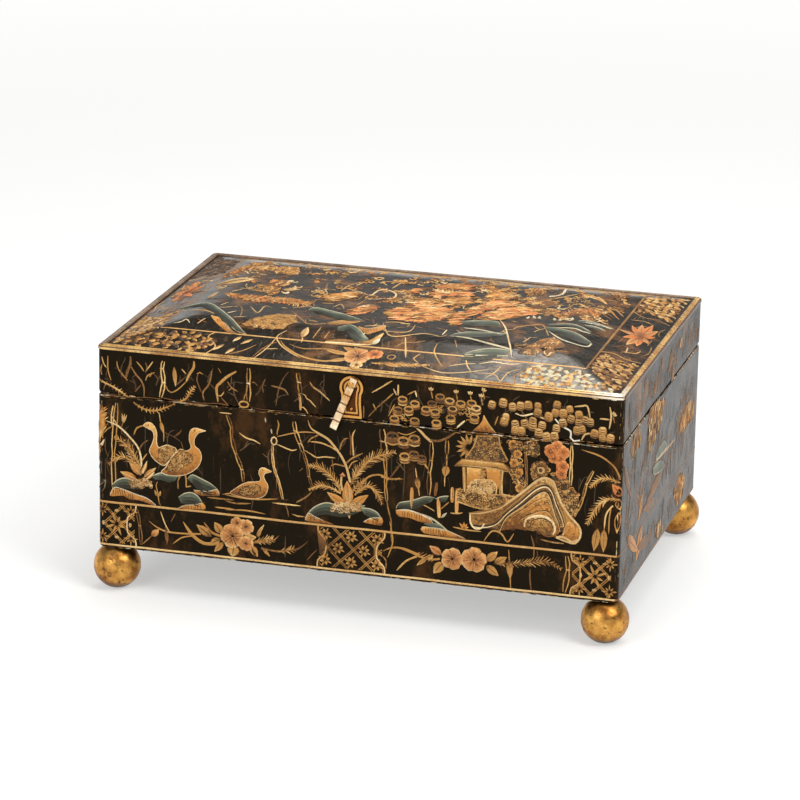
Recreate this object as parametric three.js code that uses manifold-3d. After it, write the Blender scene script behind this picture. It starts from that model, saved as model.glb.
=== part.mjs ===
// A lacquered wooden box with a hipped lid, gilt ball feet, stop hinges and a swing-hook clasp.
// Millimetres, +Z up, front towards -Y. The origin is on the surface that the feet stand on,
// under the middle of the box. Every piece is closed, and touches or just clears its neighbours.
import * as THREE from "three";
import { mergeVertices } from "three/addons/utils/BufferGeometryUtils.js";
import Module from "manifold-3d";

const wasm = await Module();
wasm.setup();

// Case
const caseWidth = 340;
const caseDepth = 235;
const caseHeight = 102.2;
const wallThickness = 9;
const baseThickness = 8;
const cornerRadius = 3.5;
const baseEdgeRadius = 2;
const rimEdgeRadius = 0.9;
const rebateDepth = 3;
const liningThickness = 2.5;

// Lid
const lidGap = 0.4;
const lidRailHeight = 29.6;
const lidEdgeRadius = 2.4;
const roofRise = 11.2;
const roofSlopeWidth = 50;
const roofEaseWidth = 12;
const roofEdgeThickness = 1.6;
const roofTongue = 2;

// Gilt moulding of two reeds round the top of the lid
const reedRadius = 1.3;
const reedStep = 2.3;
const reedRise = 0.7;
const mouldingProud = 0.5;
const mouldingBed = 1;

// Ball feet and the dowels that hold them
const footDiameter = 30.6;
const footFloorCut = 0.3;
const footSeatCut = 1.4;
const footInset = 9.5;
const dowelRadius = 3;
const dowelInFoot = 13;
const dowelInBase = 6.5;

// Stop hinges
const hingeLength = 38;
const hingeInset = 63;
const hingeAxisSetback = 2.6;
const leafThickness = 1.4;
const leafDepth = 7.4;
const knuckleRadius = 2.3;
const knuckleCount = 5;
const knuckleGap = 0.3;
const stopLugWidth = 3;
const stopLugRadius = 2.8;
const openAngle = 95;
const stopPlay = 3;
const hingePinRadius = 1.1;

// Countersunk screws in the hinge leaves
const screwHeadRadius = 1.9;
const screwHeadDepth = 1;
const screwShankRadius = 1;
const screwLength = 10;
const screwSpacing = 20;
const screwSlotWidth = 0.5;
const screwSlotDepth = 0.45;

// Clasp: a keyhole-shaped plate on the lid, a ribbed hook bar on a rivet, a keeper stud on the case
const claspOffset = -2.6;
const plateLobeRadius = 7.6;
const plateWaistHalf = 5.9;
const plateBaseHalf = 7;
const plateHeight = 27;
const plateFoot = 1.4;
const plateFloor = 0.8;
const plateRimHeight = 2;
const plateInnerRimHeight = 1.6;
const plateRimWidth = 1.5;
const plateChannelWidth = 1.2;
const plateInnerRimWidth = 1.1;
const pivotBelowPlateTop = 4.6;
const pivotOffset = 0.9;
const rivetRadius = 1.2;
const rivetHeadRadius = 1.8;
const rivetHeadHeight = 0.4;
const fixingDepth = 6;
const bossRadius = 3;
const claspPinRadius = 0.6;
const claspPinHeadRadius = 1.2;
const claspPinHeadHeight = 0.6;
const claspPinUp = 5.5;
const hookTilt = 21.6;
const hookWidth = 4.6;
const hookThickness = 2.5;
const hookAbovePivot = 4.5;
const hookBelowPivot = 32.4;
const hookRibs = 6;
const hookGrooveDepth = 0.7;
const hookNibLength = 1.4;
const hookNibReach = 2.5;
const hookGuardWidth = 0.7;
const hookGuardLength = 3;
const studRadius = 0.9;
const studHeight = 2;
const studReach = 28.6;
const studOffset = 0.6;

// Clearances
const fitGap = 0.2;
const pinGap = 0.1;
const hookGap = 0.4;

// Levels and places that follow from the sizes above
const footHeight = footDiameter - footFloorCut - footSeatCut;
const caseBottom = footHeight;
const baseTop = caseBottom + baseThickness;
const rimLevel = caseBottom + caseHeight;
const lidBottom = rimLevel + lidGap;
const lidTop = lidBottom + lidRailHeight;
const halfWidth = caseWidth / 2;
const halfDepth = caseDepth / 2;
const hingeAxisLevel = rimLevel + lidGap / 2;
const hingeAxisY = halfDepth + hingeAxisSetback;
const mouldingWidth = 2 * reedRadius + reedStep - mouldingProud;
const roofEdgeInset = mouldingWidth + fitGap;
const plateBase = lidBottom + plateFoot;
const pivot = new THREE.Vector2(claspOffset + pivotOffset, plateBase + plateHeight - pivotBelowPlateTop);

const woodColour = 0x14100d;
const materials = {
  lacquer: new THREE.MeshStandardMaterial({ color: woodColour, roughness: 0.28, metalness: 0 }),
  gilt: new THREE.MeshStandardMaterial({ color: 0xb98230, roughness: 0.35, metalness: 0.9 }),
  brass: new THREE.MeshStandardMaterial({ color: 0xc9a052, roughness: 0.3, metalness: 1 }),
  felt: new THREE.MeshStandardMaterial({ color: 0x5a1512, roughness: 0.95, metalness: 0 }),
  beech: new THREE.MeshStandardMaterial({ color: 0xb48a5a, roughness: 0.7, metalness: 0 }),
};

// Solids

// A closed geometry as a solid that can be joined and cut.
function solidOf(geometry) {
  const bare = geometry.index ? geometry.toNonIndexed() : geometry.clone();
  bare.deleteAttribute("normal");
  bare.deleteAttribute("uv");
  const merged = mergeVertices(bare, 1e-4);
  return new wasm.Manifold(
    new wasm.Mesh({
      numProp: 3,
      vertProperties: new Float32Array(merged.attributes.position.array),
      triVerts: new Uint32Array(merged.index.array),
    }),
  );
}

function geometryOf(solid) {
  const mesh = solid.getMesh();
  const geometry = new THREE.BufferGeometry();
  geometry.setAttribute("position", new THREE.BufferAttribute(mesh.vertProperties, 3));
  geometry.setIndex(new THREE.BufferAttribute(mesh.triVerts, 1));
  const faceted = geometry.toNonIndexed();
  faceted.computeVertexNormals();
  return faceted;
}

// A block between two corners.
function block(x0, x1, y0, y1, z0, z1) {
  const geometry = new THREE.BoxGeometry(x1 - x0, y1 - y0, z1 - z0);
  geometry.translate((x0 + x1) / 2, (y0 + y1) / 2, (z0 + z1) / 2);
  return solidOf(geometry);
}

// A round piece turned from a profile of [radius, height] points, about the Z axis.
function turned(profile, segments = 24) {
  const points = profile.map(([radius, height]) => new THREE.Vector2(radius, height));
  const geometry = new THREE.LatheGeometry(points, segments);
  geometry.rotateX(Math.PI / 2);
  return geometry;
}

// The points of a rectangle with round corners, anticlockwise from above, at one level.
const cornerSteps = 5;
function roundedRing(halfX, halfY, radius, z) {
  const centres = [
    [halfX - radius, halfY - radius, 0],
    [-halfX + radius, halfY - radius, 1],
    [-halfX + radius, -halfY + radius, 2],
    [halfX - radius, -halfY + radius, 3],
  ];
  return centres.flatMap(([x, y, quarter]) =>
    Array.from({ length: cornerSteps + 1 }, (_, step) => {
      const angle = (quarter + step / cornerSteps) * (Math.PI / 2);
      return [x + radius * Math.cos(angle), y + radius * Math.sin(angle), z];
    }),
  );
}

// A closed skin over rings of equal count: capped at both ends, or joined last to first.
function lofted(rings, endless = false) {
  const count = rings[0].length;
  const positions = rings.flat(2);
  const triangles = [];
  const last = endless ? rings.length : rings.length - 1;
  for (let level = 0; level < last; level++) {
    const above = (level + 1) % rings.length;
    for (let i = 0; i < count; i++) {
      const next = (i + 1) % count;
      const a = level * count + i;
      const b = level * count + next;
      const c = above * count + next;
      const d = above * count + i;
      triangles.push(a, b, c, a, c, d);
    }
  }
  if (!endless) {
    const top = (rings.length - 1) * count;
    for (let i = 1; i < count - 1; i++) {
      triangles.push(0, i + 1, i);
      triangles.push(top, top + i, top + i + 1);
    }
  }
  const geometry = new THREE.BufferGeometry();
  geometry.setAttribute("position", new THREE.Float32BufferAttribute(positions, 3));
  geometry.setIndex(triangles);
  return geometry;
}

// The outside of the case or lid: upright walls whose lower and upper edges are rounded over.
function roundedCasing(bottom, top, lowerRadius, upperRadius) {
  const edgeSteps = 3;
  const ringAt = (inset, z) =>
    roundedRing(halfWidth - inset, halfDepth - inset, Math.max(cornerRadius - inset, 0.5), z);
  const quarter = Array.from({ length: edgeSteps + 1 }, (_, step) => (step / edgeSteps) * (Math.PI / 2));
  const lower = quarter.map((angle) =>
    ringAt(lowerRadius * (1 - Math.sin(angle)), bottom + lowerRadius * (1 - Math.cos(angle))),
  );
  const upper = quarter.map((angle) =>
    ringAt(upperRadius * (1 - Math.cos(angle)), top - upperRadius * (1 - Math.sin(angle))),
  );
  return solidOf(lofted([...lower, ...upper]));
}

const root = new THREE.Group();

function addMesh(parent, name, geometry, material) {
  const mesh = new THREE.Mesh(geometry, material);
  mesh.name = name;
  parent.add(mesh);
  return mesh;
}

// Four boards or rails that make a frame: long ones in front and behind, rebated at their
// ends for the short ones at the sides.
function boardBlocks(bottom, top) {
  const sideReach = halfDepth - wallThickness + rebateDepth;
  const left = block(-halfWidth, -halfWidth + wallThickness, -sideReach, sideReach, bottom, top);
  const right = block(halfWidth - wallThickness, halfWidth, -sideReach, sideReach, bottom, top);
  const front = block(-halfWidth, halfWidth, -halfDepth, -halfDepth + wallThickness, bottom, top);
  const back = block(-halfWidth, halfWidth, halfDepth - wallThickness, halfDepth, bottom, top);
  const sides = left.add(right);
  return { left, right, front: front.subtract(sides), back: back.subtract(sides) };
}

// Hinge hardware, modelled about its own axis: X along the pin, Y away from the wall, Z up.

const hingeCentres = [-halfWidth + hingeInset, halfWidth - hingeInset];
const barrelLength = hingeLength - 2 * stopLugWidth;
const knuckleLength = barrelLength / knuckleCount;
const screwY = -hingeAxisSetback - leafDepth / 2;
const screwXs = [-screwSpacing / 2, screwSpacing / 2];

// A cylinder along X, from one x to another, about the hinge axis.
function rodAlongX(radius, x0, x1, segments = 20) {
  const geometry = new THREE.CylinderGeometry(radius, radius, x1 - x0, segments);
  geometry.rotateZ(Math.PI / 2);
  geometry.translate((x0 + x1) / 2, 0, 0);
  return solidOf(geometry);
}

function screwGeometry() {
  const pointLength = 2;
  const profile = [
    [0, -screwLength],
    [screwShankRadius * 0.25, -screwLength],
    [screwShankRadius, -screwLength + pointLength],
    [screwShankRadius, -screwHeadDepth],
    [screwHeadRadius, 0],
    [0, 0],
  ];
  const slot = block(
    -screwHeadRadius - fitGap,
    screwHeadRadius + fitGap,
    -screwSlotWidth / 2,
    screwSlotWidth / 2,
    -screwSlotDepth,
    fitGap,
  );
  return geometryOf(solidOf(turned(profile, 16)).subtract(slot));
}

// What a screw needs cleared: its countersink in the leaf and its pilot hole in the wood.
function screwHole() {
  const clear = fitGap / 2;
  const profile = [
    [0, -screwLength - clear],
    [screwShankRadius + clear, -screwLength - clear],
    [screwShankRadius + clear, -screwHeadDepth - clear],
    [screwHeadRadius + clear, -clear],
    [screwHeadRadius + clear, fitGap],
    [0, fitGap],
  ];
  return solidOf(turned(profile, 16));
}

// The leaf that lies below the joint. The one above is the same leaf turned over, with the
// other knuckles.
function leafBelow(ownKnuckle) {
  const top = -lidGap / 2;
  const wallFace = -hingeAxisSetback;
  let leaf = block(-hingeLength / 2, hingeLength / 2, wallFace - leafDepth, wallFace, top - leafThickness, top);
  for (let i = 0; i < knuckleCount; i++) {
    if (ownKnuckle(i)) {
      const x0 = -barrelLength / 2 + i * knuckleLength + knuckleGap / 2;
      const x1 = x0 + knuckleLength - knuckleGap;
      const web = block(x0, x1, wallFace - 1, 0, top - leafThickness, top);
      const knuckle = rodAlongX(knuckleRadius, x0, x1);
      leaf = leaf.add(web).add(knuckle);
    }
  }
  leaf = leaf.add(stopLugBelow(1)).add(stopLugBelow(-1));
  leaf = leaf.subtract(rodAlongX(hingePinRadius + pinGap, -barrelLength / 2, barrelLength / 2));
  for (const x of screwXs) leaf = leaf.subtract(screwHole().translate([x, screwY, top]));
  return leaf;
}

// The lug beside the barrel whose sloping back face meets that of the other leaf and stops the
// lid: the notch between the two is as wide as the lid opens, and a little play.
function stopLugBelow(side) {
  const halfNotch = THREE.MathUtils.degToRad((openAngle + stopPlay) / 2);
  const joint = lidGap / 2;
  const wallFace = -hingeAxisSetback;
  const lug = new THREE.Shape();
  lug.moveTo(wallFace - 1, -joint);
  lug.lineTo(wallFace - 1, -joint - leafThickness);
  lug.lineTo(wallFace + fitGap, -joint - leafThickness);
  const startAngle = Math.atan2(-joint - leafThickness, wallFace + fitGap);
  lug.absarc(0, 0, stopLugRadius, startAngle, -halfNotch, false);
  lug.lineTo(joint / Math.tan(halfNotch), -joint);
  const geometry = new THREE.ExtrudeGeometry(lug, { depth: stopLugWidth, bevelEnabled: false, curveSegments: 5 });
  // The outline is drawn in Y and Z, and runs along X.
  geometry.rotateX(Math.PI / 2);
  geometry.rotateZ(Math.PI / 2);
  const x0 = side > 0 ? hingeLength / 2 - stopLugWidth : -hingeLength / 2;
  geometry.translate(x0, 0, 0);
  return solidOf(geometry);
}

const isCaseKnuckle = (i) => i % 2 === 0;
const isLidKnuckle = (i) => i % 2 === 1;
const turnOver = (solid) => solid.mirror([0, 0, 1]);

// Where the leaves and screws are let into the wood, in the box's frame.
function leafMortise(hingeX, above) {
  const z0 = above ? lidBottom - fitGap : rimLevel - leafThickness - fitGap;
  const z1 = above ? lidBottom + leafThickness + fitGap : rimLevel + fitGap;
  const reach = hingeLength / 2 + fitGap;
  const inner = halfDepth - leafDepth - fitGap;
  return block(hingeX - reach, hingeX + reach, inner, halfDepth + fitGap, z0, z1);
}

function cutForHinges(board, above) {
  let cut = board;
  for (const hingeX of hingeCentres) {
    cut = cut.subtract(leafMortise(hingeX, above));
    for (const x of screwXs) {
      const hole = above ? turnOver(screwHole()) : screwHole();
      const level = above ? lidBottom : rimLevel;
      cut = cut.subtract(hole.translate([hingeX + x, hingeAxisY + screwY, level]));
    }
  }
  return cut;
}

// The clasp, modelled in the plane of the front: X across, Y into the wood, Z up.

// A pin or rivet along -Y from a profile of [radius, distance in front of the face].
function pinAlongFront(profile, x, z, segments = 20) {
  const geometry = turned(profile, segments);
  geometry.rotateX(Math.PI / 2);
  geometry.translate(x, -halfDepth, z);
  return geometry;
}

function holeInFront(radius, depth, x, z) {
  const profile = [
    [0, -depth],
    [radius, -depth],
    [radius, fitGap],
    [0, fitGap],
  ];
  return solidOf(pinAlongFront(profile, x, z, 16));
}

// Where the keeper stud stands: measured along the hook bar from its rivet, and across it.
function alongHook(reach, across) {
  const tilt = THREE.MathUtils.degToRad(hookTilt);
  return new THREE.Vector2(
    pivot.x - reach * Math.sin(tilt) + across * Math.cos(tilt),
    pivot.y - reach * Math.cos(tilt) - across * Math.sin(tilt),
  );
}
const stud = alongHook(studReach, studOffset);

// Case

function buildCase() {
  const casing = roundedCasing(caseBottom, rimLevel, baseEdgeRadius, rimEdgeRadius);
  const boards = boardBlocks(baseTop, rimLevel);
  const footCentres = footPlaces();

  let base = casing.intersect(block(-halfWidth, halfWidth, -halfDepth, halfDepth, caseBottom, baseTop));
  for (const { x, y } of footCentres) {
    const bore = solidOf(
      turned(
        [
          [0, -1],
          [dowelRadius + fitGap, -1],
          [dowelRadius + fitGap, dowelInBase + fitGap],
          [0, dowelInBase + fitGap],
        ],
        16,
      ),
    );
    base = base.subtract(bore.translate([x, y, caseBottom]));
  }
  addMesh(root, "base_board", geometryOf(base), materials.lacquer);

  const studHole = holeInFront(studRadius + fitGap / 2, fixingDepth + fitGap, stud.x, stud.y);
  const front = casing.intersect(boards.front).subtract(studHole);
  addMesh(root, "front_board", geometryOf(front), materials.lacquer);
  const back = cutForHinges(casing.intersect(boards.back), false);
  addMesh(root, "back_board", geometryOf(back), materials.lacquer);
  addMesh(root, "left_board", geometryOf(casing.intersect(boards.left)), materials.lacquer);
  addMesh(root, "right_board", geometryOf(casing.intersect(boards.right)), materials.lacquer);

  const innerX = halfWidth - wallThickness - fitGap;
  const innerY = halfDepth - wallThickness - fitGap;
  const pad = block(-innerX, innerX, -innerY, innerY, baseTop, baseTop + liningThickness);
  addMesh(root, "floor_lining", geometryOf(pad), materials.felt);
}

function footPlaces() {
  return [
    { name: "front_left", x: -halfWidth + footInset, y: -halfDepth + footInset },
    { name: "front_right", x: halfWidth - footInset, y: -halfDepth + footInset },
    { name: "back_left", x: -halfWidth + footInset, y: halfDepth - footInset },
    { name: "back_right", x: halfWidth - footInset, y: halfDepth - footInset },
  ];
}

// A turned ball, flat where it stands and where it meets the case, bored for its dowel.
function footGeometry() {
  const radius = footDiameter / 2;
  const centre = radius - footFloorCut;
  const from = Math.acos((radius - footFloorCut) / radius);
  const to = Math.PI - Math.acos((radius - footSeatCut) / radius);
  const steps = 12;
  const profile = [[0, 0]];
  for (let i = 0; i <= steps; i++) {
    const angle = from + ((to - from) * i) / steps;
    profile.push([radius * Math.sin(angle), centre - radius * Math.cos(angle)]);
  }
  profile.push([dowelRadius + fitGap, footHeight]);
  profile.push([dowelRadius + fitGap, footHeight - dowelInFoot - fitGap]);
  profile.push([0, footHeight - dowelInFoot - fitGap]);
  return turned(profile, 28);
}

function buildFeet() {
  const dowelProfile = [
    [0, footHeight - dowelInFoot],
    [dowelRadius, footHeight - dowelInFoot],
    [dowelRadius, footHeight + dowelInBase],
    [0, footHeight + dowelInBase],
  ];
  for (const { name, x, y } of footPlaces()) {
    addMesh(root, `foot_${name}`, footGeometry(), materials.gilt).position.set(x, y, 0);
    addMesh(root, `foot_dowel_${name}`, turned(dowelProfile, 16), materials.beech).position.set(x, y, 0);
  }
}

// Lid

// The roof's height above its edge, at a distance in from that edge: a straight slope that
// eases into the flat top.
function roofHeight(inward) {
  const slope = roofRise / (roofSlopeWidth - roofEaseWidth / 2);
  const easeStart = roofSlopeWidth - roofEaseWidth;
  if (inward <= easeStart) return slope * inward;
  const t = Math.min((inward - easeStart) / roofEaseWidth, 1);
  return slope * (easeStart + roofEaseWidth * (t - (t * t) / 2));
}

function roofGeometry() {
  const easeSteps = 4;
  const edgeX = halfWidth - roofEdgeInset;
  const edgeY = halfDepth - roofEdgeInset;
  const edgeRadius = Math.max(cornerRadius - roofEdgeInset, 0.6);
  const edgeLevel = lidTop + roofEdgeThickness;
  const rings = [
    roundedRing(edgeX, edgeY, edgeRadius, lidTop),
    roundedRing(edgeX, edgeY, edgeRadius, edgeLevel),
  ];
  for (let i = 0; i <= easeSteps; i++) {
    const inward = roofSlopeWidth - roofEaseWidth + (roofEaseWidth * i) / easeSteps;
    rings.push(roundedRing(edgeX - inward, edgeY - inward, edgeRadius, edgeLevel + roofHeight(inward)));
  }
  const tongueX = halfWidth - wallThickness - fitGap;
  const tongueY = halfDepth - wallThickness - fitGap;
  const tongue = block(-tongueX, tongueX, -tongueY, tongueY, lidTop - roofTongue, lidTop + 1);
  return geometryOf(solidOf(lofted(rings)).add(tongue));
}

// The two-reed moulding as one ring round the lid, later cut into four mitred strips.
function mouldingRing() {
  const reedSteps = 4;
  const outerCentre = reedRadius - mouldingProud;
  // The valley where the two round reeds meet, as an angle on each of them.
  const tilt = Math.atan2(reedRise, reedStep);
  const halfApart = Math.hypot(reedStep, reedRise) / 2;
  const valley = Math.acos(halfApart / reedRadius);
  const arcs = [
    [Math.PI, tilt + valley],
    [Math.PI + tilt - valley, 0],
  ];
  const profile = [[-mouldingProud, lidTop]];
  arcs.forEach(([from, to], reed) => {
    const centre = outerCentre + reed * reedStep;
    const level = lidTop + mouldingBed + reed * reedRise;
    // The second reed starts at the valley, which already ends the first.
    for (let i = reed; i <= reedSteps; i++) {
      const angle = from + ((to - from) * i) / reedSteps;
      profile.push([centre + reedRadius * Math.cos(angle), level + reedRadius * Math.sin(angle)]);
    }
  });
  profile.push([mouldingWidth, lidTop]);
  const rings = profile.map(([inset, z]) =>
    roundedRing(halfWidth - inset, halfDepth - inset, Math.max(cornerRadius - inset, 0.5), z),
  );
  return solidOf(lofted(rings, true));
}

// A prism, seen from above, that keeps one side of the ring between its two mitres.
function mitreWedge(side) {
  const reach = halfWidth + wallThickness;
  const back = reach - fitGap / Math.SQRT2;
  const cornerX = halfWidth - halfDepth;
  const outline = new THREE.Shape();
  const shift = fitGap / Math.SQRT2;
  if (side === "front") {
    outline.moveTo(-cornerX, -shift);
    outline.lineTo(-cornerX - reach + shift, -reach);
    outline.lineTo(cornerX + reach - shift, -reach);
    outline.lineTo(cornerX, -shift);
  } else {
    outline.moveTo(cornerX + shift, 0);
    outline.lineTo(cornerX + reach, -back);
    outline.lineTo(cornerX + reach, back);
  }
  const geometry = new THREE.ExtrudeGeometry(outline, { depth: 20, bevelEnabled: false });
  geometry.translate(0, 0, lidTop - 5);
  return solidOf(geometry);
}

function buildMouldings() {
  const ring = mouldingRing();
  const front = ring.intersect(mitreWedge("front"));
  const right = ring.intersect(mitreWedge("right"));
  addMesh(root, "moulding_front", geometryOf(front), materials.gilt);
  addMesh(root, "moulding_back", geometryOf(front.mirror([0, 1, 0])), materials.gilt);
  addMesh(root, "moulding_right", geometryOf(right), materials.gilt);
  addMesh(root, "moulding_left", geometryOf(right.mirror([1, 0, 0])), materials.gilt);
}

function buildLid() {
  const casing = roundedCasing(lidBottom, lidTop + lidEdgeRadius, lidEdgeRadius, lidEdgeRadius);
  const rails = boardBlocks(lidBottom, lidTop);
  const rivetHole = holeInFront(rivetRadius + fitGap / 2, fixingDepth + fitGap, pivot.x, pivot.y);
  const pinHole = holeInFront(claspPinRadius + fitGap / 2, fixingDepth + fitGap, claspOffset, plateBase + claspPinUp);
  const front = casing.intersect(rails.front).subtract(rivetHole).subtract(pinHole);
  addMesh(root, "lid_front_rail", geometryOf(front), materials.lacquer);
  const back = cutForHinges(casing.intersect(rails.back), true);
  addMesh(root, "lid_back_rail", geometryOf(back), materials.lacquer);
  addMesh(root, "lid_left_rail", geometryOf(casing.intersect(rails.left)), materials.lacquer);
  addMesh(root, "lid_right_rail", geometryOf(casing.intersect(rails.right)), materials.lacquer);
  addMesh(root, "roof_panel", roofGeometry(), materials.lacquer);

  const liningX = halfWidth - wallThickness - fitGap;
  const liningY = halfDepth - wallThickness - fitGap;
  const liningTop = lidTop - roofTongue - fitGap;
  const lining = block(-liningX, liningX, -liningY, liningY, liningTop - liningThickness, liningTop);
  addMesh(root, "lid_lining", geometryOf(lining), materials.felt);
}

function buildHinges() {
  const caseLeaf = geometryOf(leafBelow(isCaseKnuckle));
  const lidLeaf = geometryOf(turnOver(leafBelow(isLidKnuckle)));
  const pin = geometryOf(rodAlongX(hingePinRadius, -barrelLength / 2 + knuckleGap, barrelLength / 2 - knuckleGap));
  const screw = screwGeometry();
  ["left", "right"].forEach((side, index) => {
    const hinge = new THREE.Group();
    hinge.position.set(hingeCentres[index], hingeAxisY, hingeAxisLevel);
    root.add(hinge);
    addMesh(hinge, `hinge_${side}_case_leaf`, caseLeaf, materials.brass);
    addMesh(hinge, `hinge_${side}_lid_leaf`, lidLeaf, materials.brass);
    addMesh(hinge, `hinge_${side}_pin`, pin, materials.brass);
    screwXs.forEach((x, number) => {
      const caseScrew = addMesh(hinge, `hinge_${side}_case_screw_${number + 1}`, screw, materials.brass);
      caseScrew.position.set(x, screwY, -lidGap / 2);
      const lidScrew = addMesh(hinge, `hinge_${side}_lid_screw_${number + 1}`, screw, materials.brass);
      lidScrew.position.set(x, screwY, lidGap / 2);
      lidScrew.rotation.x = Math.PI;
    });
  });
}

// Clasp

// The keyhole outline, drawn in from its edge by an inset: a round lobe, a waist and a foot.
function keyholeOutline(inset) {
  const lobe = plateLobeRadius - inset;
  const lobeLevel = plateHeight - plateLobeRadius;
  const foot = inset;
  const shoulder = THREE.MathUtils.degToRad(32);
  const waist = plateWaistHalf - inset;
  const base = plateBaseHalf - inset;
  const waistLevel = lobeLevel * 0.5;
  const outline = new THREE.Shape();
  outline.moveTo(-base, foot);
  outline.lineTo(base, foot);
  outline.bezierCurveTo(
    base,
    foot + waistLevel * 0.5,
    waist,
    waistLevel * 0.9,
    lobe * Math.cos(shoulder),
    lobeLevel - lobe * Math.sin(shoulder),
  );
  outline.absarc(0, lobeLevel, lobe, -shoulder, Math.PI + shoulder, false);
  outline.bezierCurveTo(-waist, waistLevel * 0.9, -base, foot + waistLevel * 0.5, -base, foot);
  return outline;
}

// A slab of the keyhole outline, standing forward from the face of the lid.
function keyholeSlab(inset, height) {
  const geometry = new THREE.ExtrudeGeometry(keyholeOutline(inset), {
    depth: height,
    bevelEnabled: false,
    curveSegments: 10,
  });
  geometry.rotateX(Math.PI / 2);
  geometry.translate(claspOffset, -halfDepth, plateBase);
  return solidOf(geometry);
}

function plateSolid() {
  const channelInset = plateRimWidth;
  const innerRimInset = channelInset + plateChannelWidth;
  const recessInset = innerRimInset + plateInnerRimWidth;
  const outerRim = keyholeSlab(0, plateRimHeight).subtract(keyholeSlab(channelInset, plateRimHeight + 1));
  const innerRim = keyholeSlab(innerRimInset, plateInnerRimHeight).subtract(
    keyholeSlab(recessInset, plateInnerRimHeight + 1),
  );
  const boss = solidOf(
    pinAlongFront(
      [
        [0, 0],
        [bossRadius, 0],
        [bossRadius, plateRimHeight],
        [0, plateRimHeight],
      ],
      pivot.x,
      pivot.y,
    ),
  );
  const rivetHole = holeInFront(rivetRadius + pinGap, plateRimHeight, pivot.x, pivot.y);
  const pinHole = holeInFront(claspPinRadius + pinGap, plateRimHeight, claspOffset, plateBase + claspPinUp);
  return keyholeSlab(0, plateFloor)
    .add(outerRim)
    .add(innerRim)
    .add(boss)
    .subtract(rivetHole.translate([0, -plateRimHeight, 0]))
    .subtract(rivetHole)
    .subtract(pinHole.translate([0, -plateRimHeight, 0]))
    .subtract(pinHole);
}

// The hook bar in its own frame: its rivet at the origin, the bar hanging down -Z, its back
// at y = 0 and its ribbed front towards -Y.
function hookGeometry() {
  const length = hookAbovePivot + hookBelowPivot;
  const pitch = length / hookRibs;
  const crown = 0.3;
  const side = new THREE.Shape();
  side.moveTo(0, hookAbovePivot);
  side.lineTo(-hookThickness + hookGrooveDepth, hookAbovePivot);
  for (let i = 0; i < hookRibs; i++) {
    const top = hookAbovePivot - i * pitch;
    const low = top - pitch;
    side.lineTo(-hookThickness + crown, top - pitch * 0.1);
    side.lineTo(-hookThickness, top - pitch * 0.35);
    side.lineTo(-hookThickness, top - pitch * 0.65);
    side.lineTo(-hookThickness + crown, low + pitch * 0.1);
    side.lineTo(-hookThickness + hookGrooveDepth, low);
  }
  side.lineTo(0, -hookBelowPivot);
  const geometry = new THREE.ExtrudeGeometry(side, { depth: hookWidth, bevelEnabled: false });
  // The outline is drawn in Y and Z, and runs along X.
  geometry.rotateX(Math.PI / 2);
  geometry.rotateZ(Math.PI / 2);
  geometry.translate(-hookWidth / 2, 0, 0);
  let bar = solidOf(geometry);

  // At the tip a nib turns back behind the bar, to lie under the stud, with a guard at its left.
  const reachBack = plateRimHeight;
  const left = -hookWidth / 2;
  const nib = block(left, left + hookNibReach, -0.5, reachBack, -hookBelowPivot, -hookBelowPivot + hookNibLength);
  const guardTop = -hookBelowPivot + hookNibLength + hookGuardLength;
  const guard = block(left, left + hookGuardWidth, -0.5, reachBack, -hookBelowPivot, guardTop);
  const eye = turned(
    [
      [0, -hookThickness - 1],
      [rivetRadius + pinGap, -hookThickness - 1],
      [rivetRadius + pinGap, hookThickness + 1],
      [0, hookThickness + 1],
    ],
    20,
  );
  eye.rotateX(Math.PI / 2);
  bar = bar.add(nib).add(guard).subtract(solidOf(eye));
  return geometryOf(bar);
}

function buildClasp() {
  addMesh(root, "clasp_plate", geometryOf(plateSolid()), materials.gilt);

  const barBack = plateRimHeight + hookGap;
  const barFront = barBack + hookThickness;
  const rivetProfile = [
    [0, -fixingDepth],
    [rivetRadius, -fixingDepth],
    [rivetRadius, barFront + pinGap],
    [rivetHeadRadius, barFront + pinGap],
    [rivetHeadRadius * 0.6, barFront + pinGap + rivetHeadHeight],
    [0, barFront + pinGap + rivetHeadHeight],
  ];
  addMesh(root, "clasp_rivet", pinAlongFront(rivetProfile, pivot.x, pivot.y), materials.gilt);

  const pinProfile = [
    [0, -fixingDepth],
    [claspPinRadius, -fixingDepth],
    [claspPinRadius, plateFloor + pinGap],
    [claspPinHeadRadius, plateFloor + pinGap],
    [claspPinHeadRadius * 0.6, plateFloor + pinGap + claspPinHeadHeight],
    [0, plateFloor + pinGap + claspPinHeadHeight],
  ];
  addMesh(root, "clasp_pin", pinAlongFront(pinProfile, claspOffset, plateBase + claspPinUp, 16), materials.gilt);

  const hook = new THREE.Group();
  hook.position.set(pivot.x, -halfDepth - barBack, pivot.y);
  hook.rotation.y = THREE.MathUtils.degToRad(hookTilt);
  root.add(hook);
  addMesh(hook, "hook_bar", hookGeometry(), materials.gilt);

  const studProfile = [
    [0, -fixingDepth],
    [studRadius, -fixingDepth],
    [studRadius, studHeight - 0.3],
    [studRadius * 0.6, studHeight],
    [0, studHeight],
  ];
  addMesh(root, "keeper_stud", pinAlongFront(studProfile, stud.x, stud.y, 16), materials.gilt);
}

buildCase();
buildFeet();
buildLid();
buildMouldings();
buildHinges();
buildClasp();

export default root;
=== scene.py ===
# %% [markdown]
# This lesson dresses a lacquered wooden box in the manner of old chinoiserie work: black
# lacquer with brown clouds in it, raised gold and coloured painting on every face, gilt ball
# feet and a gilt clasp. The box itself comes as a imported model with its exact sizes. Blender
# gives it the finish, so the first cell only loads that model and keeps its outer box.

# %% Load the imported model
import math
import itertools
import random

import bmesh
import bpy
from mathutils import Matrix, Vector


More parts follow.
